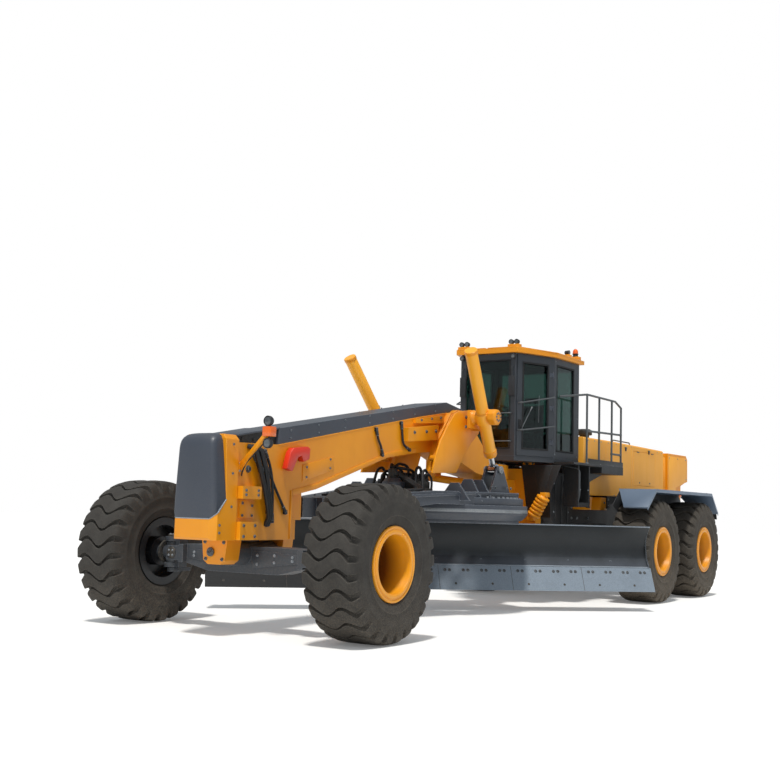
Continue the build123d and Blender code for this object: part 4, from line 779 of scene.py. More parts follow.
for p in sides("lift_trim", "lift_barrel_{}", YELLOW, 0.004):
    p.ring(BARREL_FOOT, -DOWN, [(0.002, 0.0475), (0.002, 0.098), (0.012, 0.104), (0.09, 0.104), (0.1, 0.096),
                                (0.1, 0.08)], 40)
    p.ring(BARREL_HEAD, DOWN, [(0.0, 0.09), (0.004, 0.101), (0.05, 0.101), (0.056, 0.094), (0.056, 0.08)], 40)
    p.ring(TRUNNION + DOWN * 0.09, DOWN, [(0, 0.094), (0, 0.118), (0.014, 0.11), (0.022, 0.094)], 40)
    p.ring(TRUNNION - DOWN * 0.09, -DOWN, [(0, 0.094), (0, 0.118), (0.014, 0.11), (0.022, 0.094)], 40)
    p.pipe([BARREL_HEAD + DOWN * 0.06 + OUT * 0.1, BARREL_HEAD + DOWN * 0.06 + OUT * 0.125, BARREL_HEAD
            + DOWN * 0.15 + OUT * 0.128, TRUNNION - DOWN * 0.16 + OUT * 0.128], 0.014, 10, 0.03)
for p in sides("lift_gland", "lift_barrel_{}", DARK_BOLT, 0):
    p.ring(BARREL_FOOT, DOWN, [(-0.002, 0.0462), (-0.002, 0.072), (0.01, 0.07), (0.012, 0.056),
                               (0.012, 0.0462)], 32)
    for i in range(8):
        a = 2 * math.pi * i / 8
        p.bolt(BARREL_FOOT - DOWN * 0.004 + (ACROSS * math.cos(a) + OUT * math.sin(a)) * 0.086, DOWN, 0.009,
               0.01)
    p.drum(TRUNNION - DOWN * 0.2 + OUT * 0.125, TRUNNION - DOWN * 0.14 + OUT * 0.125, 0.022, 6)
for p in sides("lift_eye_pin", "drawbar", BOLT, 0):
    p.drum(LIFT_EYE - Vector((0, 0.15, 0)), LIFT_EYE - Vector((0, 0.1165, 0)), 0.062, 32)
    p.drum(LIFT_EYE + Vector((0, 0.1165, 0)), LIFT_EYE + Vector((0, 0.15, 0)), 0.062, 32)
    p.bolt(LIFT_EYE + Vector((0, 0.15, 0)), Y, 0.026, 0.018)


HINGE_X = -6.6                                  # articulation pin
p = Piece("hinge_caps", FRONT, BOLT, 0)
p.lathe((HINGE_X, 0, 2.395), Z, [(-0.012, 0.15), (0.004, 0.15), (0.012, 0.135), (0.012, 0.001)], 48)
p.bolt_circle((HINGE_X, 0, 2.405), Z, 0.118, 8, 0.016, 0.014)
p.done()


# ---- front axle
for p in sides("king_caps", "lean_{}", CAST, 0.003, "cast_black"):
    p.lathe((0, 1.32, AXLE_Z + 0.214), Z, [(-0.012, 0.085), (0.004, 0.085), (0.012, 0.074), (0.012, 0.001)],
            32)
    for x, way in ((0.244, 1), (-0.244, -1)):
        p.lathe((x, 1.13, AXLE_Z), X * way, [(-0.004, 0.078), (0.008, 0.078), (0.014, 0.066), (0.014, 0.001)],
                32)
    p.block((-0.06, 0.06), (1.165, 1.2), (AXLE_Z - 0.14, AXLE_Z + 0.14))
for p in sides("king_bolts", "lean_{}", BOLT, 0):
    p.bolt_circle((0, 1.32, AXLE_Z + 0.224), Z, 0.06, 6, 0.011, 0.01)
    for x, way in ((0.257, 1), (-0.257, -1)):
        p.bolt_circle((x, 1.13, AXLE_Z), X * way, 0.045, 4, 0.011, 0.009, 0.5)
for p in sides("steer_ram", "front_axle", CAST, 0.003):
    p.drum((-0.215, 0.3, 1.02), (-0.215, 0.72, 1.0), 0.042, 24)
    p.ring((-0.215, 0.7, 1.001), (0, 1, -0.05), [(0, 0.026), (0, 0.05), (0.035, 0.05), (0.042, 0.026)], 24)
    p.block((-0.245, -0.155), (0.25, 0.3), (0.96, 1.06))
    p.block((-0.235, -0.155), (0.86, 0.88), (0.95, 1.03))
    p.pipe([(-0.16, 0.33, 1.025), (-0.2, 0.36, 1.042), (-0.215, 0.4, 1.03)], 0.01, 8, 0.02)
for p in sides("steer_rod", "front_axle", CHROME, 0):
    p.drum((-0.215, 0.72, 1.0), (-0.215, 0.866, 0.993), 0.024, 20)
for p in sides("axle_plates", "front_axle", AXLE_GREY, 0.004):
    for way in (1, -1):
        outline = ((0.18, 0.8), (0.88, 0.88), (0.88, 0.985), (0.52, 1.01), (0.18, 1.01))
        p.slab([(way * 0.158, y, z) for y, z in outline], X * way * 0.012)
for p in sides("hub_ring", "knuckle_{}", CAST, 0.003):
    p.ring((0, 1.43, AXLE_Z), Y, [(0, 0.088), (0, 0.15), (0.03, 0.15), (0.04, 0.13), (0.04, 0.088)], 40)
for p in sides("axle_bolts", "front_axle", BOLT, 0):
    for y, z in ((0.25, 0.85), (0.25, 0.96), (0.52, 0.88), (0.52, 0.965), (0.8, 0.91), (0.8, 0.955)):
        p.bolt((0.17, y, z), X, 0.014, 0.012)


# ---- drawbar and circle
CIRCLE_X = -4.65
DRIVE_X = -3.25                                 # circle drive
p = Piece("drawbar_bolts", "drawbar", BOLT, 0)
for i in range(72):
    a = 2 * math.pi * i / 72
    x, y = CIRCLE_X + 1.28 * math.cos(a), 1.28 * math.sin(a)
    if x > -3.95 or (x > -5.32 and 0.82 < abs(y) < 1.12) or -5.32 < x < -4.94:
        continue
    p.bolt((x, y, 1.7803), Z, 0.02, 0.018)
for side in (1, -1):
    for x in (-1.6, -2.2, -2.8):
        y = 0.665 * (-x - 1.15) / 1.85 + 0.06
        p.bolt((x, side * y, 1.7 + 0.16 * (-x - 1.15) / 1.95), Z, 0.016, 0.014)
    for y in (0.3, 0.52):
        p.bolt((-3.25, side * y, 1.8303), Z, 0.02, 0.016)
    for y in (0.2, 0.5, 0.78):
        p.bolt((-5.13, side * y, 1.8203), Z, 0.022, 0.018)
p.done()
p = Piece("circle_drive", "drawbar", FRAME_SLATE, 0.006)
p.lathe((DRIVE_X, 0, 1.829), Z, [(0, 0.185), (0.03, 0.185), (0.036, 0.16), (0.15, 0.155), (0.165, 0.14),
                                 (0.21, 0.11), (0.215, 0.001)], 40)
p.block((-3.42, -3.36), (-0.11, 0.11), (1.86, 1.98))
p.done()
p = Piece("circle_motor", "drawbar", CAST, 0.004)
p.lathe((DRIVE_X, 0, 2.044), Z, [(0, 0.085), (0.02, 0.085), (0.026, 0.07), (0.13, 0.07), (0.14, 0.055),
                                 (0.14, 0.001)], 32)
p.block((-3.3, -3.2), (0.06, 0.11), (2.09, 2.15))
p.done()
p = Piece("circle_drive_bolts", "drawbar", BOLT, 0)
p.bolt_circle((DRIVE_X, 0, 1.862), Z, 0.172, 12, 0.01, 0.01)
p.done()
p = Piece("drawbar_lines", "drawbar", HOSE, 0)
for shift in (0.0, 0.042, 0.084):
    p.pipe([(-1.3, 0.13 + shift, 1.742), (-2.0, 0.345 + shift, 1.8), (-2.9, 0.66 + shift, 1.872),
            (-3.12, 0.52 + shift, 1.905), (-3.2, 0.3 + shift, 2.0), (-3.225, 0.112, 2.105 + shift * 0.3)],
           0.015, 10, 0.12)
p.done()
p = Piece("drawbar_valves", "drawbar", CAST, 0.005)
p.block((-3.66, -3.44), (-0.46, 0.46), (1.785, 1.9))
p.block((-3.64, -3.47), (-0.42, 0.42), (1.9, 2.0))
q = Piece("drawbar_valve_hoses", "drawbar", HOSE, 0)
for i, top in enumerate((2.215, 2.165, 2.235, 2.19, 2.245, 2.17, 2.225, 2.18)):
    y = -0.385 + 0.11 * i
    p.drum((-3.6, y, 1.995), (-3.6, y, 2.05), 0.034, 6)
    p.drum((-3.52, y, 1.995), (-3.52, y, 2.035), 0.03, 20)
    if abs(y) > 0.2:
        q.pipe([(-3.6, y, 2.04), (-3.615, y, top - 0.05), (-3.54, y * 1.02, top), (-3.44, y * 1.06,
                                                                                   top - 0.04),
                (-3.39, y * 1.15, 1.96), (-3.37, y * 1.2, 1.786)], 0.022, 12, 0.08)
    else:
        q.pipe([(-3.6, y, 2.04), (-3.61, y, top - 0.05), (-3.52, y, top), (-3.36, y * 0.6, top + 0.02),
                (-3.27, y * 0.3, 2.2)], 0.022, 12, 0.08)
    q.pipe([(-3.52, y, 2.025), (-3.52, y + 0.01, 2.1), (-3.57, y + 0.045, 2.12), (-3.64, y + 0.06, 2.06),
            (-3.652, y + 0.06, 1.94), (-3.645, y + 0.05, 1.85)], 0.018, 12, 0.06)
p.done()
q.done()
p = Piece("drawbar_clamps", "drawbar", BOLT, 0.002)
for x, y, z in ((-1.55, 0.25, 1.735), (-2.05, 0.405, 1.776), (-2.55, 0.585, 1.817)):
    p.block((x - 0.02, x + 0.02), (y - 0.085, y + 0.085), (z - 0.012, z + 0.05))
p.done()


for p in sides("drawbar_edges", "drawbar", FRAME_SLATE, 0.003):
    p.slab([(-1.2, 0.272, 1.69), (-3.88, 1.08, 1.868), (-3.88, 1.094, 1.868), (-1.2, 0.286, 1.69)],
           (0, 0, -0.04))
    p.slab([(-3.9, 1.08, 1.866), (-5.28, 1.08, 1.872), (-5.28, 1.094, 1.872), (-3.9, 1.094, 1.866)],
           (0, 0, -0.04))
    p.block((-5.24, -4.42), (0.77, 0.93), (1.885, 1.905))
for p in sides("ear_bolts", "drawbar", DARK_BOLT, 0):
    for x in (-4.56, -4.66, -5.06, -5.18):
        p.bolt((x, 0.995, 1.95), Y, 0.018, 0.014)
    for x in (-4.05, -4.25, -4.45, -4.65, -4.85, -5.05):
        p.bolt((x, 1.08, 1.76), Y, 0.016, 0.014)


p = Piece("circle_teeth", "circle", DARK_BOLT, 0.003)
for i in range(84):
    a = 2 * math.pi * i / 84
    rings = []
    for z in (1.455, 1.655):
        ring = []
        for r, wide in ((1.152, 0.024), (1.112, 0.011), (1.112, -0.011), (1.152, -0.024)):
            t = a + wide / r
            ring.append(p.spot((CIRCLE_X + r * math.cos(t), r * math.sin(t), z)))
        rings.append(ring)
    p.loops(rings)
p.done()
Piece("circle_skirt", "circle", FRAME_SLATE, 0.002).ring((CIRCLE_X, 0, 1.395), Z, [(0, 1.24), (0, 1.265),
                                                                                   (0.05, 1.265),
                                                                                   (0.05, 1.24)], 128).done()
Piece("circle_wear", "circle", BOLT, 0.002).ring((CIRCLE_X, 0, 1.56), Z, [(0, 1.398), (0, 1.404),
                                                                          (0.05, 1.404), (0.05, 1.398)],
                                                 128).done()

# ---- blade: forward of its face, along it to the left end, up
ROW = Matrix.Translation((CIRCLE_X, 0, 0)) @ Matrix.Rotation(math.radians(46), 4, "Z")
FACE = Vector((1, 0, 0.5)).normalized()


def on_edge(t, z):
    """Point on the cutting edge's sloping face, along it and up."""
    return Vector((-0.04 + 0.5 * (0.71 - z), t, z))


p = Piece("edge_bolts", "blade", DARK_BOLT, 0, place=ROW)
q = Piece("edge_holes", "blade", CAST, 0, place=ROW)
for i in range(24):
    t = -3.52 + 0.306 * i
    for shift in (-0.038, 0.038):
        spot = on_edge(t + shift, 0.635)
        q.lathe(spot - FACE * 0.002, FACE, [(0, 0.026), (0.004, 0.026), (0.004, 0.001)], 16)
        p.lathe(spot, FACE, [(0, 0.017), (0.008, 0.016), (0.012, 0.009), (0.012, 0.001)], 14)
for i in range(12):
    spot = on_edge(-3.4 + 0.612 * i, 0.43)
    q.lathe(spot - FACE * 0.002, FACE, [(0, 0.02), (0.003, 0.02), (0.003, 0.001)], 14)
p.done()
q.done()
p = Piece("edge_joints", "blade", CAST, 0, place=ROW)
for t in (-2.44, -1.22, 0.0, 1.22, 2.44):
    p.slab([on_edge(t, 0.335), on_edge(t, 0.705), on_edge(t + 0.005, 0.705), on_edge(t + 0.005, 0.335)],
           FACE * 0.0025)
p.done()
p = Piece("blade_lip", "blade", LIP, 0.002, "blade_steel", place=ROW)
p.block((-0.034, -0.006), (-3.655, 3.655), (1.38, 1.3985))
p.slab([(-0.04, -3.655, 0.712), (-0.052, -3.655, 0.722), (-0.046, -3.655, 0.73), (-0.034, -3.655, 0.716)],
       (0, 7.31, 0))
p.done()


for side, sign in SIDES:
    t = sign * 3.648
    p = Piece(f"blade_end_{side}", "blade", BLADE, 0.003, place=ROW)
    outline = [(-0.02, 0.72), (-0.115, 0.86), (-0.16, 1.1), (-0.115, 1.28), (-0.004, 1.396), (-0.06, 1.396),
               (-0.17, 1.28), (-0.215, 1.1), (-0.17, 0.86), (-0.09, 0.72)]
    p.slab([(n, t - sign * 0.012, z) for n, z in outline], Y * sign * 0.02)
    p.done()
    p = Piece(f"blade_end_bolts_{side}", "blade", DARK_BOLT, 0, place=ROW)
    for n, z in ((-0.115, 0.8), (-0.168, 0.95), (-0.186, 1.1), (-0.15, 1.26)):
        p.bolt((n, t + sign * 0.006, z), Y * sign, 0.012, 0.005)
    p.done()
p = Piece("side_shift_ram", "blade_frame", CAST, 0.004, place=ROW)
p.drum((-0.45, -0.82, 0.93), (-0.45, 0.56, 0.93), 0.055, 32)
p.ring((-0.45, 0.555, 0.93), Y, [(0, 0.033), (0, 0.064), (0.06, 0.064), (0.07, 0.05), (0.07, 0.033)], 32)
for t in (-0.72, 0.45):
    p.block((-0.52, -0.374), (t - 0.03, t + 0.03), (0.865, 0.995))
p.block((-0.43, -0.374), (-0.66, 0.66), (0.9, 0.96))
p.done()
Piece("side_shift_rod", "blade_frame", CHROME, 0, place=ROW).drum((-0.45, 0.625, 0.93), (-0.45, 0.86, 0.93),
                                                                  0.032, 24).done()
p = Piece("tip_bolts", "circle", BOLT, 0, place=ROW)
for t, way in ((1.06, 1), (-1.06, -1)):
    p.lathe((-0.345, t, 0.62), Y * way, [(-0.004, 0.075), (0.006, 0.075), (0.01, 0.06), (0.01, 0.001)], 32)
    p.bolt_circle((-0.345, t + way * 0.008, 0.62), Y * way, 0.055, 6, 0.01, 0.009)
    for n, z in ((-0.66, 1.36), (-0.56, 1.3), (-0.66, 1.22)):
        p.bolt((n, t, z), Y * way, 0.018, 0.014)
p.done()


# ---- cab
WIDE, FORE = Vector((-7.08, 0.85, 0)), Vector((-6.2, 0.53, 0))
ALONG = (FORE - WIDE).normalized()
OUTWARD = Vector((-ALONG.y, ALONG.x, 0))


def on_slant(run, out, z):
    """Point on the slanted side: along it from its rear corner, outward, up."""
    return WIDE + ALONG * run + OUTWARD * out + Vector((0, 0, z))


def slant_panel(p, runs, heights, thick):
    """Flat rectangle on a door's outer face."""
    corners = ((0, 0), (1, 0), (1, 1), (0, 1))
    p.slab([on_slant(runs[i], 0.014, heights[j]) for i, j in corners], OUTWARD * thick)


def pane_frame(p, corner, across, up, wide, high, band, proud, normal):
    """Flat gasket around a pane: four strips with mitred corners."""
    corner = Vector(corner)
    outer = [corner, corner + across * wide, corner + across * wide + up * high, corner + up * high]
    inner = [corner + across * band + up * band, corner + across * (wide - band) + up * band,
             corner + across * (wide - band) + up * (high - band), corner + across * band
             + up * (high - band)]
    for i in range(4):
        j = (i + 1) % 4
        p.slab([outer[i], outer[j], inner[j], inner[i]], normal * proud)


for p in sides("cab_gaskets", REAR, GASKET, 0.002):
    pane_frame(p, (-7.91, 0.8505, 2.65), X, Z, 0.74, 1.54, 0.03, 0.004, Y)
for p in sides("door_gaskets", "cab_door_{}", GASKET, 0.002):
    pane_frame(p, on_slant(0.152, 0.016, 2.65), ALONG, Z, 0.632, 1.51, 0.03, 0.005, OUTWARD)
for p in sides("door_trim", "cab_door_{}", SLATE, 0.003):
    for z in (2.8, 3.4, 3.98):
        p.drum(on_slant(0.052, 0.022, z - 0.05), on_slant(0.052, 0.022, z + 0.05), 0.014, 16)
        slant_panel(p, (0.055, 0.135), (z - 0.035, z + 0.035), 0.008)
for p in sides("door_handle", "cab_door_{}", TRIM, 0.003):
    slant_panel(p, (0.8, 0.865), (3.0, 3.16), 0.012)
    p.pipe([on_slant(0.832, 0.022, 3.02), on_slant(0.832, 0.06, 3.03), on_slant(0.832, 0.06, 3.13),
            on_slant(0.832, 0.022, 3.14)], 0.009, 10, 0.02)
for p in sides("door_rails", "cab_door_{}", RAIL, 0):
    for z, drop in ((3.59, 0.15), (3.08, 0.11)):
        p.pipe([on_slant(0.06, 0.014, z), on_slant(0.06, 0.085, z), on_slant(0.47, 0.095, z - drop / 2),
                on_slant(0.875, 0.085, z - drop), on_slant(0.875, 0.014, z - drop)], 0.013, 12, 0.05)
for p in sides("door_wiper", "cab_door_{}", RAIL, 0.001):
    p.pipe([on_slant(0.79, 0.024, 3.01), on_slant(0.56, 0.03, 3.39)], 0.009, 8)
    p.pipe([on_slant(0.4, 0.022, 3.13), on_slant(0.39, 0.022, 3.6)], 0.006, 6)
    p.drum(on_slant(0.8, 0.014, 2.99), on_slant(0.8, 0.04, 2.99), 0.022, 20)
for p in sides("mirror_arm", REAR, TRIM, 0.003):
    p.pipe([(-6.215, 0.48, 4.06), (-6.165, 0.48, 4.06), (-6.16, 0.48, 4.0), (-6.16, 0.48, 3.58)], 0.01, 10,
           0.03)
    p.block((-6.185, -6.151), (0.418, 0.532), (3.56, 3.9))
for p in sides("mirror_glass", REAR, MIRROR, 0.001):
    p.block((-6.189, -6.183), (0.428, 0.522), (3.572, 3.888))
for p in sides("roof_trim", REAR, YELLOW, 0.004):
    p.pipe([(-6.135, 0.02, 4.392), (-6.135, 0.585, 4.392), (-7.06, 0.917, 4.379), (-8.195, 0.917, 4.362)],
           0.009, 8, 0.02)
    p.block((-7.45, -6.7), (0.2, 0.26), (4.384, 4.396))
for p in sides("cab_bolts", REAR, DARK_BOLT, 0):
    p.studs(0.85, 0.01, 0.008, (-8.06, 2.6), (-8.06, 3.3), (-8.06, 4.1), (-7.12, 2.6), (-7.12, 4.24))
for p in sides("pillar_lamp", REAR, LENS, 0.002):
    p.lathe((-6.15, 0.5, 4.235), (1, 0, -0.15), [(0, 0.038), (0.006, 0.036), (0.01, 0.02), (0.01, 0.001)], 24)
for p in sides("pillar_shell", REAR, TRIM, 0.002):
    p.lathe((-6.2, 0.5, 4.242), (1, 0, -0.15), [(0, 0.02), (0.01, 0.04), (0.052, 0.044), (0.058, 0.04)], 24)


g = Piece("window_gaskets", REAR, GASKET, 0.002)
pane_frame(g, (-6.2, -0.44, 2.65), Y, Z, 0.88, 1.54, 0.026, 0.004, X)
pane_frame(g, (-8.13, -0.76, 3.0), Y, Z, 1.52, 1.19, 0.03, 0.004, -X)
g.done()
w = Piece("front_wiper", REAR, TRIM, 0.001)
w.drum((-6.205, 0.05, 2.61), (-6.165, 0.05, 2.61), 0.022, 20)
w.pipe([(-6.175, 0.05, 2.615), (-6.185, -0.16, 3.05), (-6.2, -0.26, 3.26)], 0.008, 8, 0.04)
w.pipe([(-6.208, -0.13, 2.98), (-6.208, -0.32, 3.62)], 0.008, 6)
w.done()
r = Piece("front_grab_bars", REAR, RAIL, 0)
for sign in (1, -1):
    for z in (3.26, 2.78):
        r.pipe([(-6.2, sign * 0.16, z), (-6.14, sign * 0.16, z), (-6.14, sign * 0.46, z), (-6.2, sign * 0.46,
                                                                                           z)], 0.011, 10,
               0.04)
r.done()
s = Piece("cab_sunshade", REAR, TRIM, 0.004)
s.slab([(-6.245, -0.43, 4.185), (-6.255, -0.43, 4.02), (-6.262, -0.43, 4.02), (-6.252, -0.43, 4.185)],
       (0, 0.86, 0))
s.block((-7.9, -6.36), (-0.4, 0.4), (4.255, 4.295))
s.block((-6.5, -6.3), (-0.4, 0.44), (4.16, 4.29))
s.done()
s = Piece("cab_screens", REAR, SCREEN, 0.003)
s.slab([(-6.3, 0.16, 4.02), (-6.3, 0.42, 4.02), (-6.33, 0.42, 4.12), (-6.33, 0.16, 4.12)], (0.02, 0, 0))
s.slab([(-6.56, -0.23, 3.29), (-6.56, 0.01, 3.29), (-6.5, 0.01, 3.44), (-6.5, -0.23, 3.44)],
       (-0.015, 0, 0.004))
s.done()
s = Piece("screen_shell", REAR, TRIM, 0.004)
s.slab([(-6.282, 0.145, 4.01), (-6.282, 0.435, 4.01), (-6.312, 0.435, 4.135), (-6.312, 0.145, 4.135)],
       (-0.016, 0, 0))
s.slab([(-6.54, -0.25, 3.27), (-6.54, 0.03, 3.27), (-6.48, 0.03, 3.46), (-6.48, -0.25, 3.46)],
       (-0.018, 0, 0.004))
s.block((-6.56, -6.5), (-0.13, -0.09), (3.236, 3.3))
s.done()
s = Piece("steering_wheel", REAR, TRIM, 0)
hub, lean = Vector((-6.76, 0, 3.33)), Vector((-0.5, 0, 0.866))
s.pipe([(-6.64, 0, 3.2), hub - lean * 0.01], 0.026, 16)
s.ring(hub, lean, [(0.012 * math.sin(a), 0.205 + 0.014 * math.cos(a)) for a in [2 * math.pi * i / 10
                                                                                for i in range(10)]], 48)
s.lathe(hub, lean, [(-0.01, 0.045), (0.012, 0.045), (0.02, 0.03), (0.02, 0.001)], 24)
cross = lean.orthogonal().normalized()
over = lean.cross(cross)
for i in range(3):
    a = 2 * math.pi * i / 3 + 0.5
    s.pipe([hub, hub + (cross * math.cos(a) + over * math.sin(a)) * 0.2], 0.01, 8)
s.done()
s = Piece("cab_levers", REAR, TRIM, 0.002)
for side in (1, -1):
    s.block((-7.62, -7.18), (side * 0.3, side * 0.42), (3.02, 3.1))
    s.block((-7.46, -7.34), (side * 0.32, side * 0.4), (2.545, 3.03))
    for x, y in ((-7.24, 0.33), (-7.24, 0.39), (-7.33, 0.36)):
        s.pipe([(x, side * y, 3.1), (x + 0.03, side * y, 3.21)], 0.007, 8)
        s.lathe((x + 0.03, side * y, 3.205), (0.2, 0, 1), [(0, 0.01), (0.012, 0.02), (0.034, 0.018),
                                                           (0.044, 0.001)], 16)
for y in (-0.16, 0.16):
    s.slab([(-6.86, y - 0.05, 2.56), (-6.86, y + 0.05, 2.56), (-6.78, y + 0.05, 2.66), (-6.78, y - 0.05,
                                                                                        2.66)], (0.012, 0, 0))
s.block((-6.9, -6.45), (-0.26, 0.26), (2.541, 2.553))
s.done()


# ---- seat
def cushion(name, low, high, crown, pull, channels):
    """Crowned pad: sides pulled in between its corners, sewn channels across its face."""
    low, high = Vector(low), Vector(high)
    size, mid = high - low, (low + high) / 2
    face = 2 if size.z < size.x else 0
    u, v = [k for k in range(3) if k != face]
    n = 22
    bm = bmesh.new()
    grid = {}

    def vert(i, j, k):
        key = (i, j, k)
        if key not in grid:
            a, b, c = (2 * i / n - 1), (2 * j / n - 1), k
            inset_u = pull * (1 - b * b) * abs(a) ** 6
            inset_v = pull * (1 - a * a) * abs(b) ** 6
            p = Vector((0, 0, 0))
            p[u] = a * (size[u] / 2 - inset_u)
            p[v] = b * (size[v] / 2 - inset_v)
            swell = (1 - a ** 4) * (1 - b ** 4)
            groove = sum(math.exp(-((b - at) / 0.045) ** 2) for at in channels)
            lift = size[face] / 2 - crown + crown * swell - crown * 0.75 * groove * (1 - a ** 8)
            edge = max(abs(a), abs(b))
            lift -= max(0.0, edge - 0.86) ** 2 * 1.2
            p[face] = lift if c else -size[face] / 2 + 0.004 * (1 - swell)
            grid[key] = bm.verts.new(p)
        return grid[key]

    for k in (0, 1):
        for i in range(n):
            for j in range(n):
                bm.faces.new([vert(i, j, k), vert(i + 1, j, k), vert(i + 1, j + 1, k), vert(i, j + 1, k)])
    rim = [(i, 0) for i in range(n)] + [(n, j) for j in range(n)] + [(n - i, n) for i in range(n)]
    rim += [(0, n - j) for j in range(n)]
    for (a, b), (c, d) in zip(rim, rim[1:] + rim[:1]):
        bm.faces.new([vert(a, b, 0), vert(c, d, 0), vert(c, d, 1), vert(a, b, 1)])
    obj = as_object(bm, name, FABRIC)
    obj.data.transform(Matrix.Translation(X * AX + mid))
    soft = obj.modifiers.new("round", "SUBSURF")
    soft.levels = soft.render_levels = 1
    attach(obj, REAR)


cushion("seat_cushion", (-7.835, -0.255, 2.915), (-7.305, 0.255, 3.038), 0.03, 0.016, (-0.5, 0.5))
cushion("seat_back", (-7.945, -0.245, 3.03), (-7.852, 0.245, 3.56), 0.026, 0.016, (-0.45, 0.1, 0.6))
cushion("seat_headrest", (-7.94, -0.14, 3.575), (-7.86, 0.14, 3.698), 0.022, 0.01, ())
p = Piece("seat_base", REAR, TRIM, 0.008)
p.block((-7.74, -7.36), (-0.17, 0.17), (2.541, 2.6))
for i in range(6):
    z = 2.602 + i * 0.042
    p.block((-7.72 + 0.012 * (i % 2), -7.38 - 0.012 * (i % 2)), (-0.155, 0.155), (z, z + 0.04))
p.block((-7.84, -7.31), (-0.25, 0.25), (2.862, 2.914))
p.block((-7.949, -7.93), (-0.22, 0.22), (2.95, 3.5))
for y in (-0.09, 0.09):
    p.pipe([(-7.925, y, 3.48), (-7.915, y, 3.6)], 0.008, 8)
p.done(replaces=("operator_seat",))
Piece("seat_piping", REAR, GASKET, 0).pipe([(-7.825, -0.236, 2.97), (-7.315, -0.236, 2.97), (-7.315, 0.236,
                                                                                             2.97),
                                            (-7.825, 0.236, 2.97)], 0.006, 8, 0.03).done()

# ---- roof lamps and beacon
TOP = 4.39                                      # cab roof's top
bases = Piece("lamp_bases", REAR, YELLOW, 0.006)
shells = Piece("lamp_shells", REAR, TRIM, 0.003)
lenses = Piece("lamp_lenses", REAR, LENS, 0)
for sign in (1, -1):
    bases.block((-6.288, -6.172), (sign * 0.382, sign * 0.598), (TOP - 0.028, TOP + 0.058))
    for y in (0.435, 0.54):
        shells.lathe((-6.268, sign * y, TOP + 0.102), X, [(0, 0.02), (0.012, 0.038), (0.06, 0.044),
                                                          (0.078, 0.044), (0.078, 0.038), (0.07, 0.036)], 28)
        shells.block((-6.245, -6.215), (sign * (y - 0.012), sign * (y + 0.012)), (TOP + 0.055, TOP + 0.075))
        lenses.lathe((-6.199, sign * y, TOP + 0.102), X, [(0, 0.037), (0.004, 0.034), (0.007, 0.016),
                                                          (0.007, 0.001)], 28)
    bases.block((-7.698, -7.582), (sign * 0.762, sign * 0.898), (TOP - 0.038, TOP + 0.036))
    shells.lathe((-7.64, sign * 0.782, TOP + 0.076), Y * sign, [(0, 0.02), (0.012, 0.034), (0.07, 0.04),
                                                                (0.094, 0.04), (0.094, 0.034),
                                                                (0.088, 0.032)], 28)
    lenses.lathe((-7.64, sign * 0.868, TOP + 0.076), Y * sign, [(0, 0.034), (0.004, 0.03), (0.007, 0.001)],
                 28)
bases.block((-8.168, -8.052), (0.702, 0.868), (TOP - 0.058, TOP + 0.058))
bases.done(replaces=("cab_lamps",))
shells.lathe((-8.11, 0.78, TOP + 0.055), Z, [(0, 0.058), (0.012, 0.058), (0.02, 0.046), (0.044, 0.046),
                                             (0.05, 0.058), (0.062, 0.058), (0.062, 0.05)], 32)
shells.done()
lenses.done()
Piece("beacon_dome", REAR, AMBER, 0).lathe((-8.11, 0.78, TOP + 0.114), Z, [(0, 0.05), (0.04, 0.049),
                                                                           (0.066, 0.042), (0.084, 0.026),
                                                                           (0.092, 0.01), (0.093, 0.001)],
                                           32).done()


# ---- rear frame, hood and fenders
HOUSE_X = -13.96                                # rear face of the radiator housing
HOOD_SIDE = 0.899                               # 1 mm inside the hood's side
HOOD_FALL = 0.0134                              # drop of the hood's top for each metre rearward


for p in sides("hood_latches", "hood_door_{}", DARK_BOLT, 0.002):
    for x in (-11.05, -11.62):
        p.block((x - 0.02, x + 0.02), (HOOD_SIDE, 0.906), (2.225, 2.255))
    for x in (-10.95, -11.75):
        p.drum((x - 0.06, 0.904, 2.852), (x + 0.06, 0.904, 2.852), 0.009, 12)
for p in sides("hood_hooks", REAR, DARK_BOLT, 0.002):
    for x in (-10.28, -11.55):
        p.slab([(x - 0.035, HOOD_SIDE, 2.915), (x + 0.035, HOOD_SIDE, 2.915), (x + 0.015, HOOD_SIDE, 2.835),
                (x - 0.015, HOOD_SIDE, 2.835)], (0, 0.02, 0))
        p.bolt((x, 0.918, 2.895), Y, 0.014, 0.012)
for p in sides("hood_ribs", REAR, HOOD_YELLOW, 0.003):
    p.block((-10.625, -10.61), (HOOD_SIDE, 0.904), (1.96, 2.945))
    p.block((-9.3, -9.288), (HOOD_SIDE, 0.904), (2.4, 2.96))
    p.plate([(-8.86, 2.285), (-9.3, 2.392), (-9.3, 2.405), (-8.86, 2.3)], HOOD_SIDE, 0.906)
    p.block((-12.4, -9.31), (HOOD_SIDE, 0.905), (1.94, 1.965))
    p.block((-12.69, -12.43), (0.838, 0.846), (2.0, 2.84))
    for x in (-12.66, -12.585, -12.51):
        p.block((x - 0.01, x + 0.01), (0.846, 0.856), (2.02, 2.82))
    p.plate([(-12.74, 1.96), (-13.2, 1.96), (-13.2, 2.2), (-13.9, 2.37), (-13.9, 2.8), (-13.84, 2.87),
             (-12.74, 2.87)], HOOD_SIDE, 0.905)
for p in sides("hood_shadow_panel", REAR, BLACK, 0.001):
    p.plate([(-8.215, 1.975), (-8.345, 1.975), (-8.345, 2.118), (-8.87, 2.262), (-9.33, 2.372),
             (-9.33, 2.466), (-8.215, 2.466)], HOOD_SIDE, 0.907)
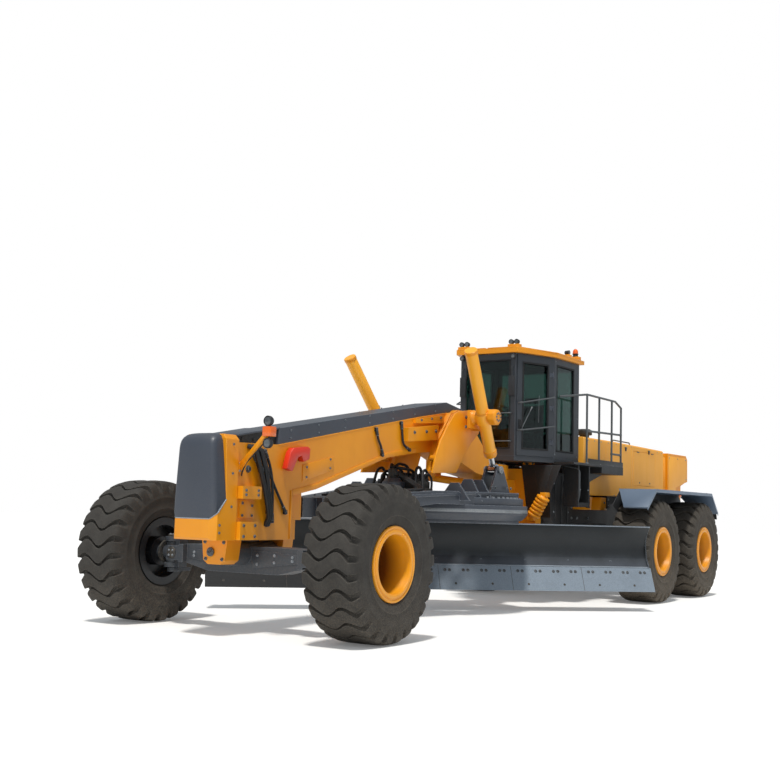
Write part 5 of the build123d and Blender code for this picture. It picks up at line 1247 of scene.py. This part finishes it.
for p in sides("hood_bolts", REAR, BOLT, 0):
    for x in (-8.45, -8.75, -9.05, -9.4, -9.8, -10.2, -10.6, -12.05, -12.32):
        p.bolt((x, 0.9, 2.94 if x > -11 else 2.905), Y, 0.009, 0.007)
    for x in (-9.7, -10.1, -10.5, -10.9, -11.3, -11.7, -12.1):
        p.bolt((x, 0.905, 1.952), Y, 0.01, 0.008)
    p.studs(0.905, 0.011, 0.009, (-12.78, 2.0), (-13.15, 2.0), (-12.78, 2.83), (-13.3, 2.83), (-13.82, 2.83),
            (-13.86, 2.4))
    for x in (-8.52, -9.45, -12.3, -13.4):
        for z in (1.74, 1.86):
            p.bolt((x, 0.89, z), Y, 0.016, 0.012)
for p in sides("top_rails", REAR, RAIL, 0):
    p.pipe([(-10.3, 0.62, 2.975), (-10.3, 0.62, 3.06), (-11.2, 0.62, 3.055), (-11.2, 0.62, 2.965)], 0.013, 10,
           0.05)
for p in sides("tail_lamps", REAR, TAIL_RED, 0.006):
    p.block((-13.985, -13.958), (0.745, 0.845), (2.62, 2.78))
for p in sides("tail_turn", REAR, AMBER, 0.006):
    p.block((-13.985, -13.958), (0.745, 0.845), (2.53, 2.605))
for p in sides("tail_shells", REAR, TRIM, 0.005):
    p.block((-13.972, -13.957), (0.73, 0.86), (2.51, 2.8))


p = Piece("hood_louvres", REAR, TRIM, 0.001)
for i in range(16):
    x = -10.55 - 0.06 * i
    z = 2.99 - HOOD_FALL * (-x - 9.8)
    p.plate([(x, z + 0.006), (x - 0.03, z + 0.014), (x - 0.03, z + 0.008), (x, z)], -0.45, 0.45)
p.done()
p = Piece("hood_top_frame", REAR, HOOD_YELLOW, 0.002)
for y0, y1 in ((-0.49, -0.455), (0.455, 0.49)):
    p.slab([(-10.48, y0, 2.979), (-11.56, y0, 2.965), (-11.56, y1, 2.965), (-10.48, y1, 2.979)],
           (0, 0, 0.018))
for x in (-10.48, -11.52):
    z = 2.979 - HOOD_FALL * (-x - 10.48)
    p.block((x, x - 0.04), (-0.49, 0.49), (z, z + 0.018))
p.done()
p = Piece("exhaust", REAR, CAST, 0.003)
p.lathe((-9.55, -0.36, 2.985), Z, [(0, 0.11), (0.02, 0.11), (0.026, 0.082), (0.26, 0.082), (0.27, 0.07),
                                   (0.27, 0.062), (0.15, 0.062)], 32)
p.lathe((-9.55, 0.34, 2.985), Z, [(0, 0.12), (0.02, 0.12), (0.026, 0.095), (0.12, 0.095), (0.126, 0.15),
                                  (0.215, 0.15), (0.24, 0.11), (0.24, 0.001)], 32)
p.done()
p = Piece("radiator_core", REAR, CAST, 0)
for i in range(60):
    y = -0.69 + 0.0234 * i
    p.block((HOUSE_X + 0.058, HOUSE_X + 0.068), (y - 0.004, y + 0.004), (2.405, 2.775))
p.done()
p = Piece("grille_bars", REAR, TRIM, 0.002)
for i in range(5):
    z = 2.4 + 0.08 * i + 0.028
    p.slab([(HOUSE_X + 0.004, -0.699, z), (HOUSE_X + 0.05, -0.699, z + 0.02), (HOUSE_X + 0.05, -0.699,
                                                                               z + 0.028), (HOUSE_X + 0.004,
                                                                                            -0.699,
                                                                                            z + 0.008)],
           (0, 1.398, 0))
p.done()
p = Piece("grille_frame", REAR, HOOD_YELLOW, 0.003)
for y0, y1, z0, z1 in ((-0.735, 0.735, 2.78, 2.812), (-0.735, 0.735, 2.368, 2.4), (-0.735, -0.7, 2.398,
                                                                                   2.782), (0.7, 0.735, 2.398,
                                                                                            2.782)):
    p.block((HOUSE_X - 0.012, HOUSE_X + 0.002), (y0, y1), (z0, z1))
p.done()
p = Piece("rear_bolts", REAR, BOLT, 0)
for y in (-0.8, -0.45, 0.45, 0.8):
    for z in (1.42, 1.62, 1.82):
        p.bolt((-13.96, y, z), -X, 0.022, 0.018)
for y in (-0.6, -0.2, 0.2, 0.6):
    p.bolt((HOUSE_X - 0.012, y, 2.796), -X, 0.01, 0.008)
    p.bolt((HOUSE_X - 0.012, y, 2.384), -X, 0.01, 0.008)
for y in (-0.1, 0.1):
    p.bolt((-13.96, y, 1.64), -X, 0.018, 0.014)
p.done()
p = Piece("tow_pin", REAR, BOLT, 0)
p.drum((-14.04, 0, 1.375), (-14.04, 0, 1.6), 0.03, 24)
p.pipe([(-14.04, 0, 1.595), (-14.04, 0, 1.625), (-14.04, 0.05, 1.635), (-14.04, 0.05, 1.605)], 0.008, 8,
       0.012)
p.done()
p = Piece("bumper_steps", REAR, BLACK, 0.004)
for side in (1, -1):
    p.block((-13.99, -13.958), (side * 0.55, side * 0.78), (1.335, 1.365))
    p.block((-13.99, -13.962), (side * 0.55, side * 0.57), (1.365, 1.52))
    p.block((-13.99, -13.962), (side * 0.76, side * 0.78), (1.365, 1.52))
p.done()


for p in sides("bellows", REAR, YELLOW, 0.004):
    start, end = Vector((-6.85, 0.79, 1.87)), Vector((-6.85, 0.575, 1.5))
    way = (end - start).normalized()
    length = (end - start).length
    profile = [(0.0, 0.075)]
    ribs = 6
    for i in range(ribs):
        at = length * (0.04 + 0.92 * i / ribs)
        profile += [(at, 0.084), (at + 0.012, 0.118), (at + 0.044, 0.118), (at + 0.056, 0.084)]
    profile += [(length, 0.075)]
    p.lathe(start, way, profile, 32)
for p in sides("bellows_feet", REAR, YELLOW, 0.004):
    p.block((-6.955, -6.79), (0.74, 0.85), (1.85, 1.93))
    p.block((-6.955, -6.79), (0.5, 0.62), (1.44, 1.505))
for p in sides("frame_apron", REAR, BLACK, 0.002):
    p.slab([(-6.948, 0.3, 2.41), (-6.948, 1.06, 2.41), (-6.948, 0.86, 1.93), (-6.948, 0.64, 1.56),
            (-6.948, 0.42, 1.56)], (0.01, 0, 0))
    p.slab([(-6.938, 0.56, 2.4), (-6.938, 0.9, 2.4), (-6.938, 0.7, 1.8), (-6.938, 0.62, 1.8)], (0.006, 0, 0))
for p in sides("tank_trim", REAR, BLACK, 0.004):
    for x in (-7.35, -7.62, -7.86):
        p.block((x - 0.02, x + 0.02), (0.758, 0.772), (1.3 if x < -7.5 else 1.45, 2.28))
    p.block((-7.96, -7.2), (0.758, 0.776), (2.24, 2.29))
    p.drum((-7.75, 0.76, 2.1), (-7.75, 0.8, 2.1), 0.05, 28)
for p in sides("cab_mounts", REAR, CAST, 0.003):
    for x, y in ((-7.075, 0.375), (-8.07, 0.505)):
        p.lathe((x, y, 2.395), Z, [(0, 0.078), (0.015, 0.09), (0.03, 0.078), (0.045, 0.09), (0.0545, 0.078)],
                28)
for p in sides("frame_bolts", REAR, BOLT, 0):
    for x in (-7.05, -8.2, -8.45, -8.7, -9.2, -11.6, -12.8, -13.1):
        for z in (1.5, 1.7):
            p.bolt((x, 0.58, z), Y, 0.02, 0.016)
    p.studs(0.76, 0.012, 0.01, (-7.3, 1.6), (-7.3, 2.1), (-7.9, 1.6), (-7.9, 1.9))
for p in sides("service_boxes", REAR, YELLOW, 0.008):
    for x0, x1 in ((-8.72, -8.46), (-9.46, -9.14)):
        p.slab([(x0 + 0.03, 0.6, 1.66), (x1, 0.6, 1.66), (x1, 0.6, 1.9), (x0 - 0.03, 0.6, 1.9)], (0, 0.27, 0))
for p in sides("service_lids", REAR, DARK_BOLT, 0.002):
    for x in (-9.3, -8.59):
        p.bolt((x, 0.87, 1.8), Y, 0.014, 0.012)


DECK_TOP = 2.4735                               # tread plate's top
RAIL_Y = 1.2                                    # handrail's posts
for p in sides("deck_tread", REAR, DECK, 0.001):
    p.block((-8.24, -7.1), (0.862, 1.225), (2.4702, DECK_TOP))
    p.block((-9.3, -8.26), (0.925, 1.225), (2.4702, DECK_TOP))
    p.block((-7.885, -7.415), (0.915, 1.165), (1.7402, 1.7435))
for p in sides("kick_plates", REAR, BLACK, 0.002):
    p.block((-9.312, -7.7), (1.226, 1.236), (2.47, 2.56))
    p.block((-9.318, -9.308), (0.93, 1.236), (2.47, 2.56))
    p.block((-7.885, -7.415), (1.172, 1.178), (1.742, 1.775))
for p in sides("post_feet", REAR, BOLT, 0):
    for x in (-7.7, -8.25, -8.84, -9.28):
        p.ring((x, RAIL_Y, DECK_TOP), Z, [(0, 0.0195), (0, 0.04), (0.008, 0.038), (0.012, 0.028),
                                          (0.012, 0.0195)], 20)
    for x in (-7.82, -7.48):
        p.bolt((x, 1.18, 2.0), Y, 0.01, 0.008)
for p in sides("rail_balls", REAR, RAIL, 0):
    for x, z in ((-7.7, 3.05), (-8.25, 3.056), (-8.84, 3.072), (-9.28, 3.079), (-8.84, 2.7), (-9.28, 2.7)):
        p.lathe((x, RAIL_Y, z - 0.026), Z, [(0, 0.0195), (0.01, 0.024), (0.042, 0.024), (0.052, 0.0195)], 16)
for p in sides("cab_step_rail", REAR, RAIL, 0):
    p.pipe([(-7.4, 0.9, 2.42), (-7.36, 1.22, 2.36), (-7.38, 1.215, 1.9), (-7.415, 1.17, 1.8)], 0.012, 10,
           0.08)


TANDEM_X = -10.4
FENDER_TOP = [(TANDEM_X + 2.058, 1.732), (TANDEM_X + 1.618, 2.058), (TANDEM_X - 1.548, 2.058),
              (TANDEM_X - 1.958, 1.672)]
for p in sides("fender_shell", "tandem_{}", FENDER, 0.003, replaces=("fender_{}",)):
    p.block((TANDEM_X - 1.55, TANDEM_X + 1.62), (1.38, 2.1), (2.03, 2.06))
    p.slab([(TANDEM_X + 1.62, 1.38, 2.06), (TANDEM_X + 2.06, 1.64, 1.73), (TANDEM_X + 2.06, 2.1, 1.73),
            (TANDEM_X + 1.62, 2.1, 2.06)], (-0.018, 0, -0.024))
    p.slab([(TANDEM_X - 1.55, 1.38, 2.06), (TANDEM_X - 1.96, 1.64, 1.67), (TANDEM_X - 1.96, 2.1, 1.67),
            (TANDEM_X - 1.55, 2.1, 2.06)], (0.022, 0, -0.022))
    for (x0, z0), (x1, z1) in zip(FENDER_TOP, FENDER_TOP[1:]):
        p.plate([(x0, z0), (x1, z1), (x1, z1 - 0.055), (x0, z0 - 0.055)], 2.088, 2.0995)
    for x in (TANDEM_X + 1.1, TANDEM_X + 0.0, TANDEM_X - 1.05):
        p.block((x - 0.025, x + 0.025), (1.39, 2.08), (2.0, 2.031))
for p in sides("fender_wall", "tandem_{}", BLACK, 0.002):
    p.plate([(TANDEM_X + 1.61, 2.032), (TANDEM_X - 1.54, 2.032), (TANDEM_X - 1.9, 1.7), (TANDEM_X - 1.25,
                                                                                         1.42),
             (TANDEM_X + 1.25, 1.42), (TANDEM_X + 1.95, 1.76)], 1.382, 1.394)
for p in sides("tandem_covers", "tandem_{}", BLACK, 0.004):
    for x in (-9.225, -11.575):
        p.ring((x, 1.3, AXLE_Z), Y, [(-0.002, 0.098), (-0.002, 0.215), (0.016, 0.21), (0.03, 0.15),
                                     (0.05, 0.14), (0.06, 0.098)], 48)
    p.block((-10.28, -9.6), (1.299, 1.312), (0.78, 1.09))
    p.block((-11.2, -10.52), (1.299, 1.312), (0.78, 1.09))
    p.block((-10.55, -10.25), (1.299, 1.309), (1.2, 2.0))
for p in sides("tandem_bolts", "tandem_{}", BOLT, 0):
    for x0 in (-9.225, -11.575):
        p.bolt_circle((x0, 1.318, AXLE_Z), Y, 0.184, 12, 0.012, 0.01)
    for x0 in (-9.94, -10.86):
        for x, z in ((-0.3, 0.81), (0.3, 0.81), (-0.3, 1.06), (0.3, 1.06), (0, 0.81), (0, 1.06)):
            p.bolt((x0 + x, 1.312, z), Y, 0.012, 0.01)
    for z in (1.3, 1.55, 1.8):
        for x in (-10.47, -10.33):
            p.bolt((x, 1.309, z), Y, 0.013, 0.011)
    for x in (-8.9, -9.6, -10.4, -11.2, -11.85):
        for y in (1.46, 2.02):
            p.bolt((x, y, 2.0602), Z, 0.01, 0.007)
for p in sides("reflector", "tandem_{}", AMBER, 0.002):
    p.block((-10.36, -10.24), (1.9995, 2.01), (1.955, 1.995))
for p in sides("mud_flap", "tandem_{}", HOSE, 0.003):
    p.slab([(-12.352, 1.68, 1.664), (-12.352, 2.06, 1.664), (-12.392, 2.06, 1.54), (-12.392, 1.68, 1.54)],
           (-0.008, 0, 0))


p = Piece("differential_trim", REAR, AXLE_GREY, 0.004)
for x, way in ((-10.05, 1), (-10.712, -1)):
    p.ring((x, 0, AXLE_Z), X * way, [(0, 0.12), (0, 0.325), (0.012, 0.325), (0.03, 0.2), (0.034, 0.12)], 48)
p.lathe((-10.05, 0, AXLE_Z), X, [(0, 0.118), (0.09, 0.11), (0.12, 0.08), (0.12, 0.001)], 32)
p.done()
p = Piece("differential_bolts", REAR, BOLT, 0)
for x, way in ((-10.04, 1), (-10.722, -1)):
    p.bolt_circle((x, 0, AXLE_Z), X * way, 0.3, 16, 0.012, 0.01)
p.done()
p = Piece("drive_shaft", REAR, CAST, 0)
p.drum((-9.93, 0, AXLE_Z + 0.02), (-9.2, 0, 1.45), 0.045, 24)
p.lathe((-9.93, 0, AXLE_Z), (1, 0, 0.7), [(-0.02, 0.07), (0.03, 0.07), (0.05, 0.05)], 20)
p.done()
p = Piece("engine_trim", REAR, BOLT, 0.004)
for i in range(6):
    x = -10.35 - 0.33 * i
    p.block((x - 0.11, x + 0.11), (-0.28, 0.28), (2.649, 2.72))
p.drum((-9.945, 0, 2.15), (-9.9, 0, 2.15), 0.24, 40)
p.done()


# ---- camera, light, floor
EYE = Vector((AX + 11.427, 9.526, 1.582))
AHEAD = Vector((-0.83204, -0.54530, 0.10175)).normalized()
RIGHT = Vector((-0.54561, 0.83760, 0.02726))
RIGHT = (RIGHT - AHEAD * RIGHT.dot(AHEAD)).normalized()
scene = bpy.context.scene


def placed(name, data):
    """New object in the scene."""
    obj = bpy.data.objects.new(name, data)
    scene.collection.objects.link(obj)
    return obj


camera = placed("camera", bpy.data.cameras.new("camera"))
axes = Matrix((RIGHT, RIGHT.cross(AHEAD), -AHEAD)).transposed()
camera.matrix_world = Matrix.Translation(EYE) @ axes.to_4x4()
camera.data.lens, camera.data.sensor_width, camera.data.clip_end = 53.46, 36.0, 300.0
scene.camera = camera
scene.view_settings.view_transform = "Standard"

# soft sky light, seen as plain white by the camera and through glass
world = bpy.data.worlds.new("studio")
scene.world = world
world.use_nodes = True
nodes, link = world.node_tree.nodes, world.node_tree.links.new
rays, seen, white, blend = (nodes.new("ShaderNode" + kind) for kind in ("LightPath", "Math", "Background",
                                                                        "MixShader"))
seen.operation = "MAXIMUM"
for shader, tint, strength in ((nodes["Background"], (0.86, 0.93, 1.0, 1), 0.44), (white, (1, 1, 1, 1), 1.0)):
    shader.inputs[0].default_value, shader.inputs[1].default_value = tint, strength
for source, socket in ((rays.outputs["Is Camera Ray"], seen.inputs[0]), (rays.outputs["Is Transmission Ray"],
                                                                         seen.inputs[1]), (seen.outputs[0],
                                                                                           blend.inputs[0]),
                       (nodes["Background"].outputs[0], blend.inputs[1]), (white.outputs[0], blend.inputs[2]),
                       (blend.outputs[0], nodes["World Output"].inputs["Surface"])):
    link(source, socket)


def sun(name, towards, energy, angle, tint):
    lamp = placed(name, bpy.data.lights.new(name, "SUN"))
    lamp.data.energy, lamp.data.angle, lamp.data.color = energy, math.radians(angle), tint
    lamp.rotation_euler = Vector(towards).to_track_quat("Z", "Y").to_euler()


sun("key", (0.34, 0.16, 0.92), 2.6, 6.0, (1.0, 0.97, 0.92))
sun("fill", (1.0, 0.6, 0.35), 0.30, 60.0, (0.92, 0.96, 1.0))

REACH = 90.0
mesh = bpy.data.meshes.new("floor")
mesh.from_pydata([(x * REACH, y * REACH, 0) for x, y in ((-1, -1), (1, -1), (1, 1), (-1, 1))], [],
                 [(0, 1, 2, 3)])
floor = placed("floor", mesh)
f = Finish("floor")
direct = f.add("LightPath").outputs["Is Camera Ray"]
f.wire(Base_Color=f.mix(f.noise(0.5, 3.0), "F4F4F2", "F8F8F7"), Roughness=0.9, Specular_IOR_Level=0.1,
       Emission_Color=(1, 1, 1, 1), Emission_Strength=f.times(direct, 0.12))
mesh.materials.append(f.mat)
